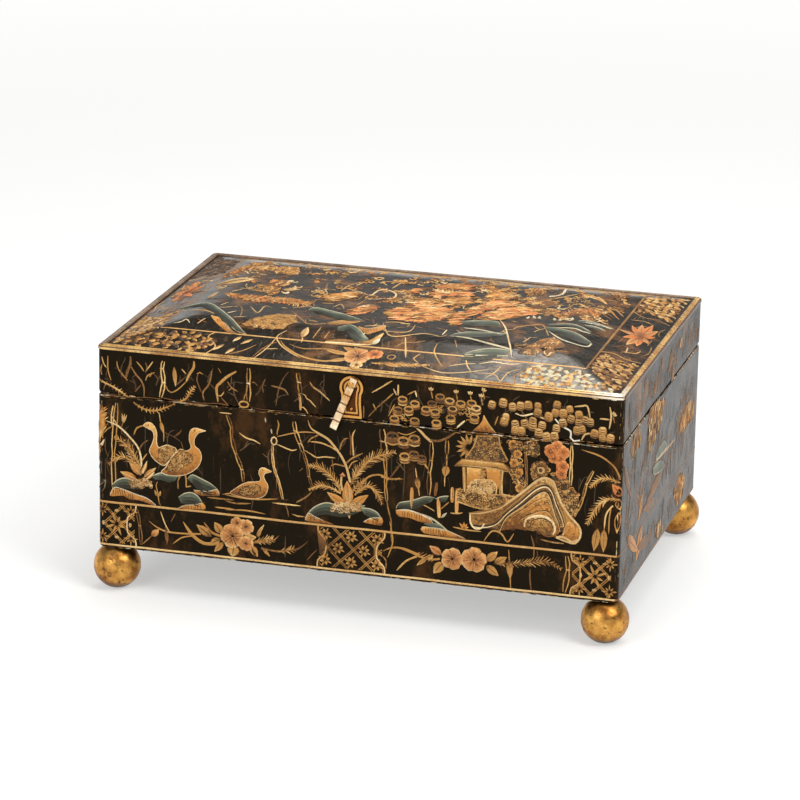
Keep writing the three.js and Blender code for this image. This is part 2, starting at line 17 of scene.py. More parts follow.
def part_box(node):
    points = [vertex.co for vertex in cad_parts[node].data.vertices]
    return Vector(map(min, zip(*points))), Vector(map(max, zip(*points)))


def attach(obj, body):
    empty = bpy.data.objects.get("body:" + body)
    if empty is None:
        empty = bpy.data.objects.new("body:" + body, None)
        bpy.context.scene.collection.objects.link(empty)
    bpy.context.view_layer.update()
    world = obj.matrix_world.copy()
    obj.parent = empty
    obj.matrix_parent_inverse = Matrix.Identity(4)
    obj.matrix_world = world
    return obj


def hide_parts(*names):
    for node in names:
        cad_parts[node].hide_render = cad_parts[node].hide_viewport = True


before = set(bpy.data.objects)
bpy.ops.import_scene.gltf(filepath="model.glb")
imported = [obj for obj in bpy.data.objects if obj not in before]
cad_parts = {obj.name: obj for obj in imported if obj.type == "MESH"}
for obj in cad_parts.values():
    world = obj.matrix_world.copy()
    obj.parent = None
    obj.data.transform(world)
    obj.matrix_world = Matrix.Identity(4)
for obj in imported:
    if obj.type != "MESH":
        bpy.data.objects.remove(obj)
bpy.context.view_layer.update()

# %% [markdown]
# The painting is laid out in millimetres, as a painter would measure it on the box. The
# outer sizes are read from the model, so that the painting follows the box.

# %% Sizes of the box, in millimetres
METRE = 1000.0


def edges_of(node):
    """The lowest and highest corner of a CAD node, in millimetres."""
    low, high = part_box(node)
    return low * METRE, high * METRE


half_width = edges_of("base_board")[1].x
half_depth = edges_of("base_board")[1].y
case_bottom = edges_of("base_board")[0].z
case_rim = edges_of("front_board")[1].z
lid_bottom = edges_of("lid_front_rail")[0].z
lid_top = edges_of("lid_front_rail")[1].z
roof_top = edges_of("roof_panel")[1].z
corner_radius = 3.5
print(
    f"case {2 * half_width:.1f} x {2 * half_depth:.1f} mm, rim at {case_rim:.1f}, roof at {roof_top:.1f}"
)

# %% [markdown]
# The camera stands where the photographer's stood. Its place was found by matching the
# corners and the feet of the box: a long lens, a little to the right, looking down.

# %% Camera
camera_azimuth = math.radians(15.35)
camera_elevation = math.radians(17.35)
camera_roll = math.radians(1.05)
camera_distance = 2.643
camera_target = Vector((-0.0201, 0.0588, 0.0900))

level_back = Vector((math.sin(camera_azimuth), -math.cos(camera_azimuth), 0))
back = level_back * math.cos(camera_elevation) + Vector((0, 0, math.sin(camera_elevation)))
level_right = Vector((math.cos(camera_azimuth), math.sin(camera_azimuth), 0))
level_up = back.cross(level_right)
right = level_right * math.cos(camera_roll) + level_up * math.sin(camera_roll)
up = level_up * math.cos(camera_roll) - level_right * math.sin(camera_roll)

camera_data = bpy.data.cameras.new("camera")
camera_data.lens = 178.4
camera_data.sensor_width = 36.0
camera_data.clip_end = 30
camera = bpy.data.objects.new("camera", camera_data)
camera.matrix_world = Matrix.Translation(camera_target + back * camera_distance) @ (
    Matrix((right, up, back)).transposed().to_4x4()
)
bpy.context.collection.objects.link(camera)
bpy.context.scene.camera = camera
print("camera at", tuple(round(value, 3) for value in camera.location))

# %% [markdown]
# Node trees are long to write out, so small helpers feed a socket, add a node, do a sum and
# make a colour ramp. Values go straight on to sockets, and sockets are joined by links.

# %% Helpers for node trees
def feed(tree, socket, value):
    """Links a socket to another one, or sets a plain value on it."""
    if isinstance(value, bpy.types.NodeSocket):
        tree.links.new(value, socket)
    else:
        socket.default_value = value


def feed_all(tree, sockets, **values):
    """Feeds sockets by their names, with an underscore for each space."""
    for name, value in values.items():
        feed(tree, sockets[name.replace("_", " ")], value)


def put(tree, kind, settings=None, **inputs):
    """Adds a node, with its settings and what goes to its inputs."""
    node = tree.nodes.new(kind)
    for key, value in (settings or {}).items():
        setattr(node, key, value)
    feed_all(tree, node.inputs, **inputs)
    return node


def sum_of(tree, operation, first, second=0.0):
    """One step of arithmetic, as a Math node."""
    node = put(tree, "ShaderNodeMath", {"operation": operation})
    feed(tree, node.inputs[0], first)
    feed(tree, node.inputs[1], second)
    return node.outputs[0]


def plus(tree, first, second):
    return sum_of(tree, "ADD", first, second)


def minus(tree, first, second):
    return sum_of(tree, "SUBTRACT", first, second)


def times(tree, first, second):
    return sum_of(tree, "MULTIPLY", first, second)


def size_of(tree, value):
    """A value without its sign."""
    return sum_of(tree, "ABSOLUTE", value)


def object_place(tree):
    """The place on the piece, in metres."""
    return tree.nodes.new("ShaderNodeTexCoord").outputs["Object"]


def spread(tree, value, low, high, to_low=0.0, to_high=1.0):
    """Stretches a value from one range to another, smoothly and without going outside."""
    ends = {"From_Min": low, "From_Max": high, "To_Min": to_low, "To_Max": to_high}
    smooth = {"interpolation_type": "SMOOTHSTEP"}
    return put(tree, "ShaderNodeMapRange", smooth, Value=value, **ends).outputs["Result"]


def blend_colours(tree, factor, first, second):
    """A mix of two colours. Each may be a colour or a socket."""
    node = put(tree, "ShaderNodeMix", {"data_type": "RGBA"})
    for index, value in ((0, factor), (6, first), (7, second)):
        feed(tree, node.inputs[index], value)
    return node.outputs[2]


def ramp(tree, factor, stops):
    """A colour ramp from (place, colour) pairs."""
    node = put(tree, "ShaderNodeValToRGB", Fac=factor)
    elements = node.color_ramp.elements
    elements[0].position, elements[0].color = stops[0]
    elements[1].position, elements[1].color = stops[-1]
    for place, colour in stops[1:-1]:
        elements.new(place).color = colour
    return node.outputs["Color"]


def grain(tree, position, scale, detail=3.0, roughness=0.55):
    """Plain noise at a scale in features per metre."""
    node = put(
        tree, "ShaderNodeTexNoise", Vector=position, Scale=scale, Detail=detail, Roughness=roughness
    )
    return node.outputs["Fac"]


def rgb(red, green, blue):
    """A colour from the 0 to 255 levels of a screen, as the linear values of a shader."""
    levels = (value / 255 for value in (red, green, blue))
    linear = [v / 12.92 if v <= 0.04045 else ((v + 0.055) / 1.055) ** 2.4 for v in levels]
    return (*linear, 1.0)


print("the helpers are ready")

# %% [markdown]
# The studio is a plain pale floor that runs to the horizon, with a white world behind it. The
# floor is half lit and half self-lit for the camera and for reflections, so it stays white
# but keeps the box's soft shadow. Higher up the world gets darker, as a studio's ceiling is,
# and that is what leaves the flat top of the lid dark in the photograph.

# %% Floor and world
studio_white = (1.0, 1.0, 0.985, 1)


def show(tree, shader, kind="ShaderNodeOutputMaterial"):
    """Sends a shader to the output of a material or of the world."""
    out = tree.nodes.new(kind)
    tree.links.new(shader.outputs[0], out.inputs["Surface"])


def seen_directly(tree):
    """One for what the camera, a reflection or a see-through surface looks at, else nought."""
    path = tree.nodes.new("ShaderNodeLightPath")
    seen = sum_of(tree, "MAXIMUM", path.outputs["Is Camera Ray"], path.outputs["Is Glossy Ray"])
    return sum_of(tree, "MAXIMUM", seen, path.outputs["Is Transmission Ray"])


def make_floor():
    mesh = bpy.data.meshes.new("studio_floor")
    shape = bmesh.new()
    bmesh.ops.create_circle(shape, cap_ends=True, segments=64, radius=9)
    shape.to_mesh(mesh)
    shape.free()
    floor = bpy.data.objects.new("studio_floor", mesh)
    bpy.context.collection.objects.link(floor)
    material = bpy.data.materials.new("studio_floor")
    material.use_nodes = True
    tree = material.node_tree
    tree.nodes.clear()
    seen = seen_directly(tree)
    paper = blend_colours(tree, seen, (0.57, 0.57, 0.565, 1), (0.97, 0.97, 0.955, 1))
    lit = put(tree, "ShaderNodeBsdfDiffuse", Color=paper)
    glow = put(tree, "ShaderNodeEmission", Color=studio_white, Strength=1.0)
    distance = put(tree, "ShaderNodeVectorMath", {"operation": "LENGTH"}, Vector=object_place(tree))
    share = times(tree, seen, spread(tree, distance.outputs["Value"], 0.4, 2.0, 0.47, 1.0))
    mixed = put(tree, "ShaderNodeMixShader", Fac=share)
    feed(tree, mixed.inputs[1], lit.outputs[0])
    feed(tree, mixed.inputs[2], glow.outputs[0])
    show(tree, mixed)
    mesh.materials.append(material)


def make_world():
    world = bpy.data.worlds.new("studio")
    bpy.context.scene.world = world
    world.use_nodes = True
    tree = world.node_tree
    tree.nodes.clear()
    direction = tree.nodes.new("ShaderNodeTexCoord").outputs["Generated"]
    height = put(tree, "ShaderNodeSeparateXYZ", Vector=direction).outputs["Z"]
    stops = [
        (0.0, (0.95, 0.95, 0.94, 1)), (0.17, (0.85, 0.85, 0.84, 1)), (0.3, (0.17, 0.17, 0.17, 1)),
        (0.62, (0.16, 0.16, 0.16, 1)), (1.0, (0.55, 0.55, 0.55, 1)),
    ]
    room = ramp(tree, height, stops)
    path = tree.nodes.new("ShaderNodeLightPath")
    colour = blend_colours(tree, path.outputs["Is Camera Ray"], room, studio_white)
    show(tree, put(tree, "ShaderNodeBackground", Color=colour, Strength=1.0), "ShaderNodeOutputWorld")


make_floor()
make_world()
print("floor and world made")

# %% [markdown]
# Four soft lamps: a large one at the right that throws the pale shadow to the left, one
# behind and above whose reflection is the glare on the front slope of the lid, a wide one
# overhead for the lid, and a broad weak one in front that brings out the painting.

# %% Lamps
def softbox(name, place, aim, width, height, power):
    data = bpy.data.lights.new(name, "AREA")
    data.shape = "RECTANGLE"
    data.size, data.size_y = width, height
    data.energy = power
    lamp = bpy.data.objects.new(name, data)
    lamp.location = place
    lamp.rotation_mode = "QUATERNION"
    lamp.rotation_quaternion = (Vector(aim) - Vector(place)).to_track_quat("-Z", "Y")
    bpy.context.collection.objects.link(lamp)


softbox("key_right", (1.5, -0.9, 1.9), (0, 0, 0.1), 1.1, 1.1, 34)
softbox("glare_behind", (-0.02, 1.0, 1.32), (0.14, 0, 0.15), 0.56, 0.34, 5)
softbox("above", (0.1, 0.15, 1.5), (0, 0, 0.17), 1.2, 0.8, 10.5)
softbox("fill_front", (-0.9, -2.4, 1.5), (0, 0, 0.1), 1.6, 1.2, 26)

# %% [markdown]
# Old lacquer is worn through along its edges, at the joint of case and lid and at the upright
# corners. The wear is worked out from the place on the box: the second smallest of the
# distances to its three pairs of faces is the distance to the nearest edge. Noise breaks the
# line up into chips. The palest colours laid on with it are a painted highlight, the glint of
# the edges. As several finishes wear, this is a node group.

# %% Node group: worn and glinting edges
def new_group(name, inputs, outputs):
    """A shader node group with named sockets, and its input node and output node."""
    group = bpy.data.node_groups.new(name, "ShaderNodeTree")
    for label, kind, value in inputs:
        socket = group.interface.new_socket(name=label, in_out="INPUT", socket_type=kind)
        socket.default_value = value
    for label, kind in outputs:
        group.interface.new_socket(name=label, in_out="OUTPUT", socket_type=kind)
    return group, group.nodes.new("NodeGroupInput").outputs, group.nodes.new("NodeGroupOutput").inputs


NUMBER, COLOUR = "NodeSocketFloat", "NodeSocketColor"


def make_edge_wear_and_glint():
    group, given, result = new_group(
        "edge_wear_and_glint",
        [
            ("Half Width", NUMBER, half_width / METRE), ("Half Depth", NUMBER, half_depth / METRE),
            ("Low", NUMBER, case_bottom / METRE), ("High", NUMBER, case_rim / METRE),
            ("Reach", NUMBER, 0.0022), ("Chips", NUMBER, 260.0),
        ],
        [("Mask", NUMBER)],
    )
    position = object_place(group)
    axes = put(group, "ShaderNodeSeparateXYZ", Vector=position).outputs
    from_side = minus(group, given["Half Width"], size_of(group, axes["X"]))
    from_front = minus(group, given["Half Depth"], size_of(group, axes["Y"]))
    from_low, from_high = minus(group, axes["Z"], given["Low"]), minus(group, given["High"], axes["Z"])
    from_end = sum_of(group, "MINIMUM", from_low, from_high)
    nearest = sum_of(group, "MINIMUM", from_side, from_front)
    furthest = sum_of(group, "MAXIMUM", from_side, from_front)
    to_edge = sum_of(group, "MAXIMUM", nearest, sum_of(group, "MINIMUM", furthest, from_end))
    closeness = minus(group, 1.0, sum_of(group, "DIVIDE", to_edge, given["Reach"]))
    chips = grain(group, position, given["Chips"], detail=4.0, roughness=0.7)
    patches = grain(group, position, 38.0, detail=2.0)
    broken = plus(group, times(group, chips, 1.2), times(group, patches, 1.1))
    feed_all(group, result, Mask=spread(group, plus(group, closeness, broken), 1.84, 2.0))
    return group


edge_wear_and_glint = make_edge_wear_and_glint()
print("group:", edge_wear_and_glint.name)

# %% [markdown]
# The ground of the box is black lacquer over brown, rubbed so that the brown shows through in
# clouds and fine streaks, like tortoiseshell. Long, upright noise makes the clouds, finer
# noise breaks them, and a faint network of age cracks goes to the bump.

# %% Node group: clouded lacquer
under_brown = rgb(84, 54, 28)


def make_clouded_lacquer():
    group, given, result = new_group(
        "clouded_lacquer",
        [
            ("Black", COLOUR, rgb(24, 18, 9)), ("Brown", COLOUR, under_brown),
            ("Cloud Scale", NUMBER, 44.0), ("Cloud Amount", NUMBER, 0.5),
        ],
        [("Color", COLOUR), ("Roughness", NUMBER), ("Height", NUMBER)],
    )
    position = object_place(group)
    upright = put(group, "ShaderNodeMapping", Vector=position)
    upright.inputs["Scale"].default_value = (1.0, 1.0, 0.45)
    upright = upright.outputs["Vector"]
    clouds = grain(group, upright, given["Cloud Scale"], detail=5.0, roughness=0.62)
    speckle = grain(group, position, 420.0, detail=3.0, roughness=0.7)
    broken = plus(group, clouds, times(group, minus(group, speckle, 0.5), 0.22))
    amount = times(group, spread(group, broken, 0.5, 0.7), given["Cloud Amount"])
    colour = blend_colours(group, amount, given["Black"], given["Brown"])
    dusty = spread(group, speckle, 0.66, 0.78, 0.0, 0.35)
    colour = blend_colours(group, dusty, colour, rgb(96, 74, 48))
    smear = grain(group, position, 60.0, detail=3.0)
    cracks = put(
        group, "ShaderNodeTexVoronoi", {"feature": "DISTANCE_TO_EDGE"}, Vector=position, Scale=170.0
    )
    crack_depth = spread(group, cracks.outputs["Distance"], 0.0, 0.035)
    ripple = grain(group, position, 110.0, detail=2.0)
    height = plus(group, times(group, crack_depth, 0.35), ripple)
    rough = spread(group, smear, 0.3, 0.75, 0.16, 0.30)
    feed_all(group, result, Color=colour, Roughness=rough, Height=height)
    return group


clouded_lacquer = make_clouded_lacquer()
print("group:", clouded_lacquer.name)

# %% [markdown]
# Gold shows in two ways on the box. The feet and the moulding are wood under gold leaf: it is
# rubbed through in spots to the red-brown clay below. The painting is gold powder in a
# varnish, laid with a brush, so its colour runs from pale to brown along each stroke. Each
# way is a group, so that other colours can use the brush group too.

# %% Node groups: rubbed leaf and brushed paint
def make_rubbed_leaf():
    group, given, result = new_group(
        "rubbed_leaf",
        [
            ("Bright", COLOUR, rgb(222, 160, 74)), ("Deep", COLOUR, rgb(150, 88, 30)),
            ("Clay", COLOUR, rgb(70, 34, 12)), ("Spot Scale", NUMBER, 240.0),
            ("Spot Amount", NUMBER, 1.0),
        ],
        [("Color", COLOUR), ("Metal", NUMBER), ("Roughness", NUMBER), ("Height", NUMBER)],
    )
    position = object_place(group)
    tone = spread(group, grain(group, position, 75.0, detail=5.0, roughness=0.65), 0.32, 0.68)
    colour = blend_colours(group, tone, given["Deep"], given["Bright"])
    fine = grain(group, position, given["Spot Scale"], detail=4.0, roughness=0.7)
    broad = grain(group, position, 62.0, detail=2.0)
    spots = spread(group, plus(group, fine, times(group, broad, 0.5)), 0.86, 0.98)
    spots = times(group, spots, given["Spot Amount"])
    feed_all(
        group, result,
        Color=blend_colours(group, spots, colour, given["Clay"]),
        Metal=minus(group, 1.0, times(group, spots, 0.75)),
        Roughness=plus(group, spread(group, fine, 0.3, 0.7, 0.22, 0.38), times(group, spots, 0.2)),
        Height=minus(group, fine, times(group, spots, 0.6)),
    )
    return group


def make_brushed_paint():
    group, given, result = new_group(
        "brushed_paint",
        [
            ("Main", COLOUR, rgb(206, 158, 92)), ("Pale", COLOUR, rgb(238, 205, 150)),
            ("Deep", COLOUR, rgb(126, 80, 36)), ("Stroke Scale", NUMBER, 760.0),
        ],
        [("Color", COLOUR), ("Roughness", NUMBER), ("Height", NUMBER)],
    )
    position = object_place(group)
    streaks = grain(group, position, given["Stroke Scale"], detail=3.0, roughness=0.6)
    broad = grain(group, position, 48.0, detail=2.0)
    load = put(group, "ShaderNodeAttribute", {"attribute_name": "load"}).outputs["Fac"]
    grit, drift = (times(group, minus(group, noise, 0.5), 0.9) for noise in (streaks, broad))
    tone = plus(group, load, plus(group, grit, drift))
    darker = blend_colours(group, spread(group, tone, 0.02, 0.48), given["Deep"], given["Main"])
    colour = blend_colours(group, spread(group, tone, 0.58, 1.05), darker, given["Pale"])
    rough = spread(group, streaks, 0.3, 0.7, 0.34, 0.52)
    feed_all(group, result, Color=colour, Roughness=rough, Height=streaks)
    return group


rubbed_leaf = make_rubbed_leaf()
brushed_paint = make_brushed_paint()
print("groups:", rubbed_leaf.name, "and", brushed_paint.name)

# %% [markdown]
# Now the finishes themselves. Each is a Principled shader fed by the groups. Lacquer is a hard
# clear film, so it keeps a plain index of refraction and a low roughness, and a bump breaks
# the reflection as it does on old work.

# %% Finishes
def new_finish(name, **constants):
    """A material with an empty tree but for its Principled shader. Constants go on its sockets."""
    material = bpy.data.materials.new(name)
    material.use_nodes = True
    tree = material.node_tree
    tree.nodes.clear()
    shader = put(tree, "ShaderNodeBsdfPrincipled", **constants)
    put(tree, "ShaderNodeOutputMaterial", Surface=shader.outputs[0])
    return material, tree, shader.inputs


def use_group(tree, group, **values):
    """Places a node group in a material, with its own values."""
    return put(tree, "ShaderNodeGroup", {"node_tree": group}, **values).outputs


def roughen(tree, shader, height, strength, distance):
    """Sends a height through a Bump node to the shader's normal."""
    bump = put(tree, "ShaderNodeBump", Height=height, Strength=strength, Distance=distance)
    feed_all(tree, shader, Normal=bump.outputs["Normal"])


film_tint = (1.0, 0.84, 0.62, 1.0)


def lacquer_finish(name, low, high, clouds, film, brown=under_brown):
    """Lacquer worn at the edges between two heights; the palest colours at the edges are a
    painted highlight. clouds says how much brown shows, and film how strongly the surface reflects."""
    material, tree, shader = new_finish(name, IOR=film, Specular_Tint=film_tint)
    ground = use_group(tree, clouded_lacquer, Cloud_Amount=clouds, Brown=brown)
    wear_and_glint = use_group(tree, edge_wear_and_glint, Low=low / METRE, High=high / METRE)["Mask"]
    # Brown and pale where the lacquer is worn through; the near-white end is a painted highlight on the
    # edges.
    coats_and_glint = ((0.42, rgb(120, 78, 40)), (0.55, rgb(176, 150, 112)), (0.62, rgb(214, 206, 190)))
    under_coat_and_glint = ramp(tree, grain(tree, object_place(tree), 300.0, detail=2.0), coats_and_glint)
    rough = plus(tree, ground["Roughness"], times(tree, wear_and_glint, 0.3))
    feed_all(tree, shader, Base_Color=blend_colours(tree, wear_and_glint, ground["Color"], under_coat_and_glint), Roughness=rough)
    roughen(tree, shader, minus(tree, ground["Height"], times(tree, wear_and_glint, 0.8)), 0.35, 0.0003)
    return material


def ball_finish(name, bright, deep, speck_and_shade_colour):
    """Worn leaf with dark specks all over, and a painted shade that darkens it where a ball stands on the
    floor.
    """
    material, tree, shader = new_finish(name)
    leaf = use_group(tree, rubbed_leaf, Bright=bright, Deep=deep)
    position = object_place(tree)
    level = put(tree, "ShaderNodeSeparateXYZ", Vector=position).outputs["Z"]
    specks = spread(tree, grain(tree, position, 330.0, detail=3.0), 0.61, 0.67, 0.0, 0.7)
    # Painted shade: darker towards the foot of the ball, where it meets the floor.
    foot_shade = spread(tree, level, 0.0015, 0.0075, 0.95, 0.0)
    dark = sum_of(tree, "MAXIMUM", specks, foot_shade)
    feed_all(
        tree, shader,
        Base_Color=blend_colours(tree, dark, leaf["Color"], speck_and_shade_colour),
        Metallic=times(tree, leaf["Metal"], minus(tree, 1.0, times(tree, dark, 0.6))),
        Roughness=plus(tree, leaf["Roughness"], 0.07),
    )
    roughen(tree, shader, leaf["Height"], 0.4, 0.0002)
    return material


def depth_shaded_gilt_finish(name, hollow, crown, bright, dark):
    """Gilt brass with its leaf on the raised parts and a painted shade in its hollows, by how far
    they stand proud of the front of the box, in millimetres."""
    material, tree, shader = new_finish(name, Metallic=0.9)
    position = object_place(tree)
    depth = put(tree, "ShaderNodeSeparateXYZ", Vector=position).outputs["Y"]
    proud = minus(tree, -half_depth / METRE, depth)
    leaf = use_group(
        tree, rubbed_leaf, Spot_Scale=620.0, Spot_Amount=0.35, Bright=bright, Deep=rgb(206, 148, 76)
    )
    # Painted shade: dark colour in the hollows, leaf on the crowns.
    colour = blend_colours(tree, spread(tree, proud, hollow / METRE, crown / METRE), dark, leaf["Color"])
    feed_all(tree, shader, Base_Color=colour, Roughness=leaf["Roughness"])
    roughen(tree, shader, leaf["Height"], 0.3, 0.00015)
    return material


def paint_finish(name, main, pale, deep, metal, scale=760.0):
    """A paint in three tones. scale says how fine its brush marks are."""
    material, tree, shader = new_finish(name, Metallic=metal, IOR=1.46, Specular_Tint=film_tint)
    paint = use_group(tree, brushed_paint, Main=main, Pale=pale, Deep=deep, Stroke_Scale=scale)
    feed_all(tree, shader, Base_Color=paint["Color"], Roughness=paint["Roughness"])
    roughen(tree, shader, paint["Height"], 0.45, 0.00015)
    return material


moulding_valley = 162.75


def moulding_finish(name, bright, deep, spot_amount, metal=0.6, gilt_between=None):
    """Leaf on the two reeds of the moulding, with a dark line in the valley between them. Where
    gilt_between is given, leaf is left only between those two distances from the box's middle,
    and the dark outside them is a painted shadow line. Near the lid's front right corner the
    leaf turns near-white, a painted highlight."""
    material, tree, shader = new_finish(name)
    leaf = use_group(
        tree, rubbed_leaf, Spot_Scale=300.0, Spot_Amount=spot_amount, Bright=bright, Deep=deep
    )
    position = object_place(tree)
    parted = put(tree, "ShaderNodeSeparateXYZ", Vector=position).outputs
    off_valley = size_of(tree, minus(tree, parted["Z"], moulding_valley / METRE))
    gilt_shows = spread(tree, off_valley, 0.0002, 0.0005)
    # On the right moulding the dark colour outside the gilt band is a painted shadow line.
    if gilt_between:
        first, last = gilt_between
        inner = spread(tree, parted["X"], (first - 0.4) / METRE, first / METRE)
        outer = spread(tree, parted["X"], last / METRE, (last + 0.3) / METRE, 1.0, 0.0)
        gilt_shows = times(tree, inner, outer)
    # Painted highlight: near-white leaf close to the lid's front right corner.
    corner = put(tree, "ShaderNodeVectorMath", {"operation": "DISTANCE"}, Vector=position)
    corner.inputs[1].default_value = (half_width / METRE, -half_depth / METRE, lid_top / METRE)
    corner_highlight = times(tree, spread(tree, corner.outputs["Value"], 0.004, 0.032, 0.85, 0.0), gilt_shows)
    gilt = blend_colours(tree, corner_highlight, leaf["Color"], rgb(255, 247, 226))
    colour = blend_colours(tree, gilt_shows, rgb(78, 46, 22), gilt)
    metallic = times(tree, times(tree, leaf["Metal"], gilt_shows), metal)
    feed_all(tree, shader, Base_Color=colour, Metallic=metallic, Roughness=leaf["Roughness"])
    roughen(tree, shader, leaf["Height"], 0.5, 0.0003)
    return material


case_lacquer = lacquer_finish("case_lacquer", case_bottom, case_rim, 0.6, 1.17)
lid_lacquer = lacquer_finish("lid_lacquer", lid_bottom, lid_top + 2, 0.45, 1.17)
lid_brown, roof_brown = rgb(120, 84, 50), rgb(112, 74, 40)
right_lid_lacquer = lacquer_finish("right_lid_lacquer", lid_bottom, lid_top + 2, 1.0, 1.13, lid_brown)
roof_lacquer = lacquer_finish("roof_lacquer", 0, 2 * roof_top, 1.0, 1.42, roof_brown)
ball_leaf = ball_finish("ball_leaf", rgb(230, 172, 88), rgb(134, 80, 30), rgb(54, 30, 12))
# One moulding in three tones by side: the right leaf is brighter, a painted highlight, and the back and
# left leaf is duller and greyer with little metal, a painted shade, besides its extra rubbed spots.
moulding_leaf = moulding_finish("moulding_leaf", rgb(236, 194, 122), rgb(164, 114, 56), 0.5)
right_leaf = {"metal": 0.6, "gilt_between": (166.8, 169.4)}
moulding_right_leaf = moulding_finish(
    "moulding_right_leaf", rgb(248, 206, 128), rgb(196, 142, 72), 0.3, **right_leaf
)
worn_and_dimmed_moulding = moulding_finish("worn_and_dimmed_moulding", rgb(146, 122, 98), rgb(104, 80, 58), 0.8, 0.1)
clasp_gilt = depth_shaded_gilt_finish("clasp_gilt", 0.9, 1.7, rgb(214, 158, 86), rgb(84, 46, 18))
# The hook's near-white leaf is a painted highlight on its front.
highlit_hook_gilt = depth_shaded_gilt_finish("highlit_hook_gilt", 4.25, 4.75, rgb(255, 240, 206), rgb(120, 72, 30))
paints = {}
for key, name, main, pale, deep, *others in (
    ("gold", "gold_paint", (186, 134, 68), (232, 190, 122), (100, 62, 28), 0.2),
    ("pale", "pale_gold_paint", (208, 166, 106), (246, 220, 170), (134, 92, 48), 0.25),
    ("deep", "deep_gold_paint", (116, 74, 36), (160, 110, 60), (60, 36, 16), 0.15),
    ("line", "gold_line_paint", (200, 152, 90), (236, 200, 140), (134, 90, 46), 0.3),
    ("amber", "amber_paint", (198, 132, 60), (238, 186, 108), (116, 66, 26), 0.15),
    ("blossom", "blossom_paint", (196, 130, 72), (232, 180, 116), (116, 58, 26), 0.05),
    ("orange", "orange_paint", (204, 118, 58), (238, 166, 98), (128, 60, 26), 0.05),
    ("teal", "teal_paint", (78, 88, 72), (146, 150, 124), (32, 36, 28), 0.0, 120.0),
    ("shade", "teal_shade_paint", (50, 58, 48), (92, 98, 80), (22, 24, 18), 0.0, 120.0),
    ("dim", "dim_gold_paint", (62, 43, 26), (100, 72, 44), (32, 22, 13), 0.1),
    ("cream", "cream_paint", (196, 184, 148), (238, 230, 206), (120, 106, 80), 0.0),
    ("ink", "ink_paint", (38, 24, 13), (64, 42, 22), (20, 13, 8), 0.0),
):
    paints[key] = paint_finish(name, rgb(*main), rgb(*pale), rgb(*deep), *others)
print("finishes:", len(bpy.data.materials))

# %% [markdown]
# The hinges are dulled brass, the dowels are turned beech and the lining is red felt. The
# brass has a dark film in patches, the beech has long grain, and the felt has a soft sheen
# and a pile that the bump makes.

# %% Finishes of the brass, beech and felt
def hinge_brass_finish():
    material, tree, shader = new_finish("hinge_brass", Metallic=1.0)
    position = object_place(tree)
    film = grain(tree, position, 180.0, detail=5.0, roughness=0.7)
    colour = blend_colours(tree, spread(tree, film, 0.42, 0.7), rgb(196, 158, 92), rgb(96, 70, 36))
    feed_all(tree, shader, Base_Color=colour, Roughness=spread(tree, film, 0.3, 0.7, 0.26, 0.5))
    roughen(tree, shader, film, 0.3, 0.0001)
    return material


def beech_finish():
    material, tree, shader = new_finish("turned_beech", Roughness=0.62)
    position = object_place(tree)
    long_way = put(tree, "ShaderNodeMapping", Vector=position)
    long_way.inputs["Scale"].default_value = (1.0, 1.0, 0.06)
    fibres = grain(tree, long_way.outputs["Vector"], 900.0, detail=4.0)
    colour = blend_colours(tree, spread(tree, fibres, 0.35, 0.7), rgb(196, 156, 108), rgb(146, 104, 62))
    feed_all(tree, shader, Base_Color=colour)
    roughen(tree, shader, fibres, 0.3, 0.0001)
    return material


def felt_finish():
    material, tree, shader = new_finish("red_felt", Roughness=0.95, Sheen_Weight=0.5, Sheen_Roughness=0.5)
    position = object_place(tree)
    pile = grain(tree, position, 1400.0, detail=4.0, roughness=0.8)
    patches = grain(tree, position, 35.0, detail=3.0)
    tone = plus(tree, times(tree, pile, 0.6), times(tree, patches, 0.5))
    colour = blend_colours(tree, spread(tree, tone, 0.38, 0.72), rgb(84, 18, 16), rgb(136, 36, 30))
    feed_all(tree, shader, Base_Color=colour)
    roughen(tree, shader, pile, 0.8, 0.0004)
    return material


hinge_brass = hinge_brass_finish()
beech = beech_finish()
felt = felt_finish()
print("brass, beech and felt made")

# %% [markdown]
# The boards, the rails and the clasp have the right shape already, but their meshes are loose
# triangles that shade flat. Each is copied, its corners are merged and its flat parts joined
# up, and it is shaded smooth with sharp edges kept. Weighted normals keep the broad faces
# flat and let only the rounded edges turn. The copy then stands in for the CAD node.

# %% Smooth copies of the wooden pieces
def settle(piece, body, slot, *nodes):
    """Links a finished piece to its body, and hides what it stands for. Its slot is not used."""
    if piece.name not in bpy.context.collection.objects:
        bpy.context.collection.objects.link(piece)
    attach(piece, body)
    if nodes:
        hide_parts(*nodes)
    return piece


def smooth_mesh(mesh, angle):
    """Shades a mesh smooth, but keeps every edge sharper than the angle."""
    mesh.polygons.foreach_set("use_smooth", [True] * len(mesh.polygons))
    mesh.set_sharp_from_angle(angle=math.radians(angle))


def finish_piece(shape, name, materials, angle):
    """Turns a bmesh into an object with its materials, shaded smooth."""
    mesh = bpy.data.meshes.new(name)
    shape.to_mesh(mesh)
    shape.free()
    if "custom_normal" in mesh.attributes:
        mesh.attributes.remove(mesh.attributes["custom_normal"])
    for material in materials:
        mesh.materials.append(material)
    smooth_mesh(mesh, angle)
    return bpy.data.objects.new(name, mesh)


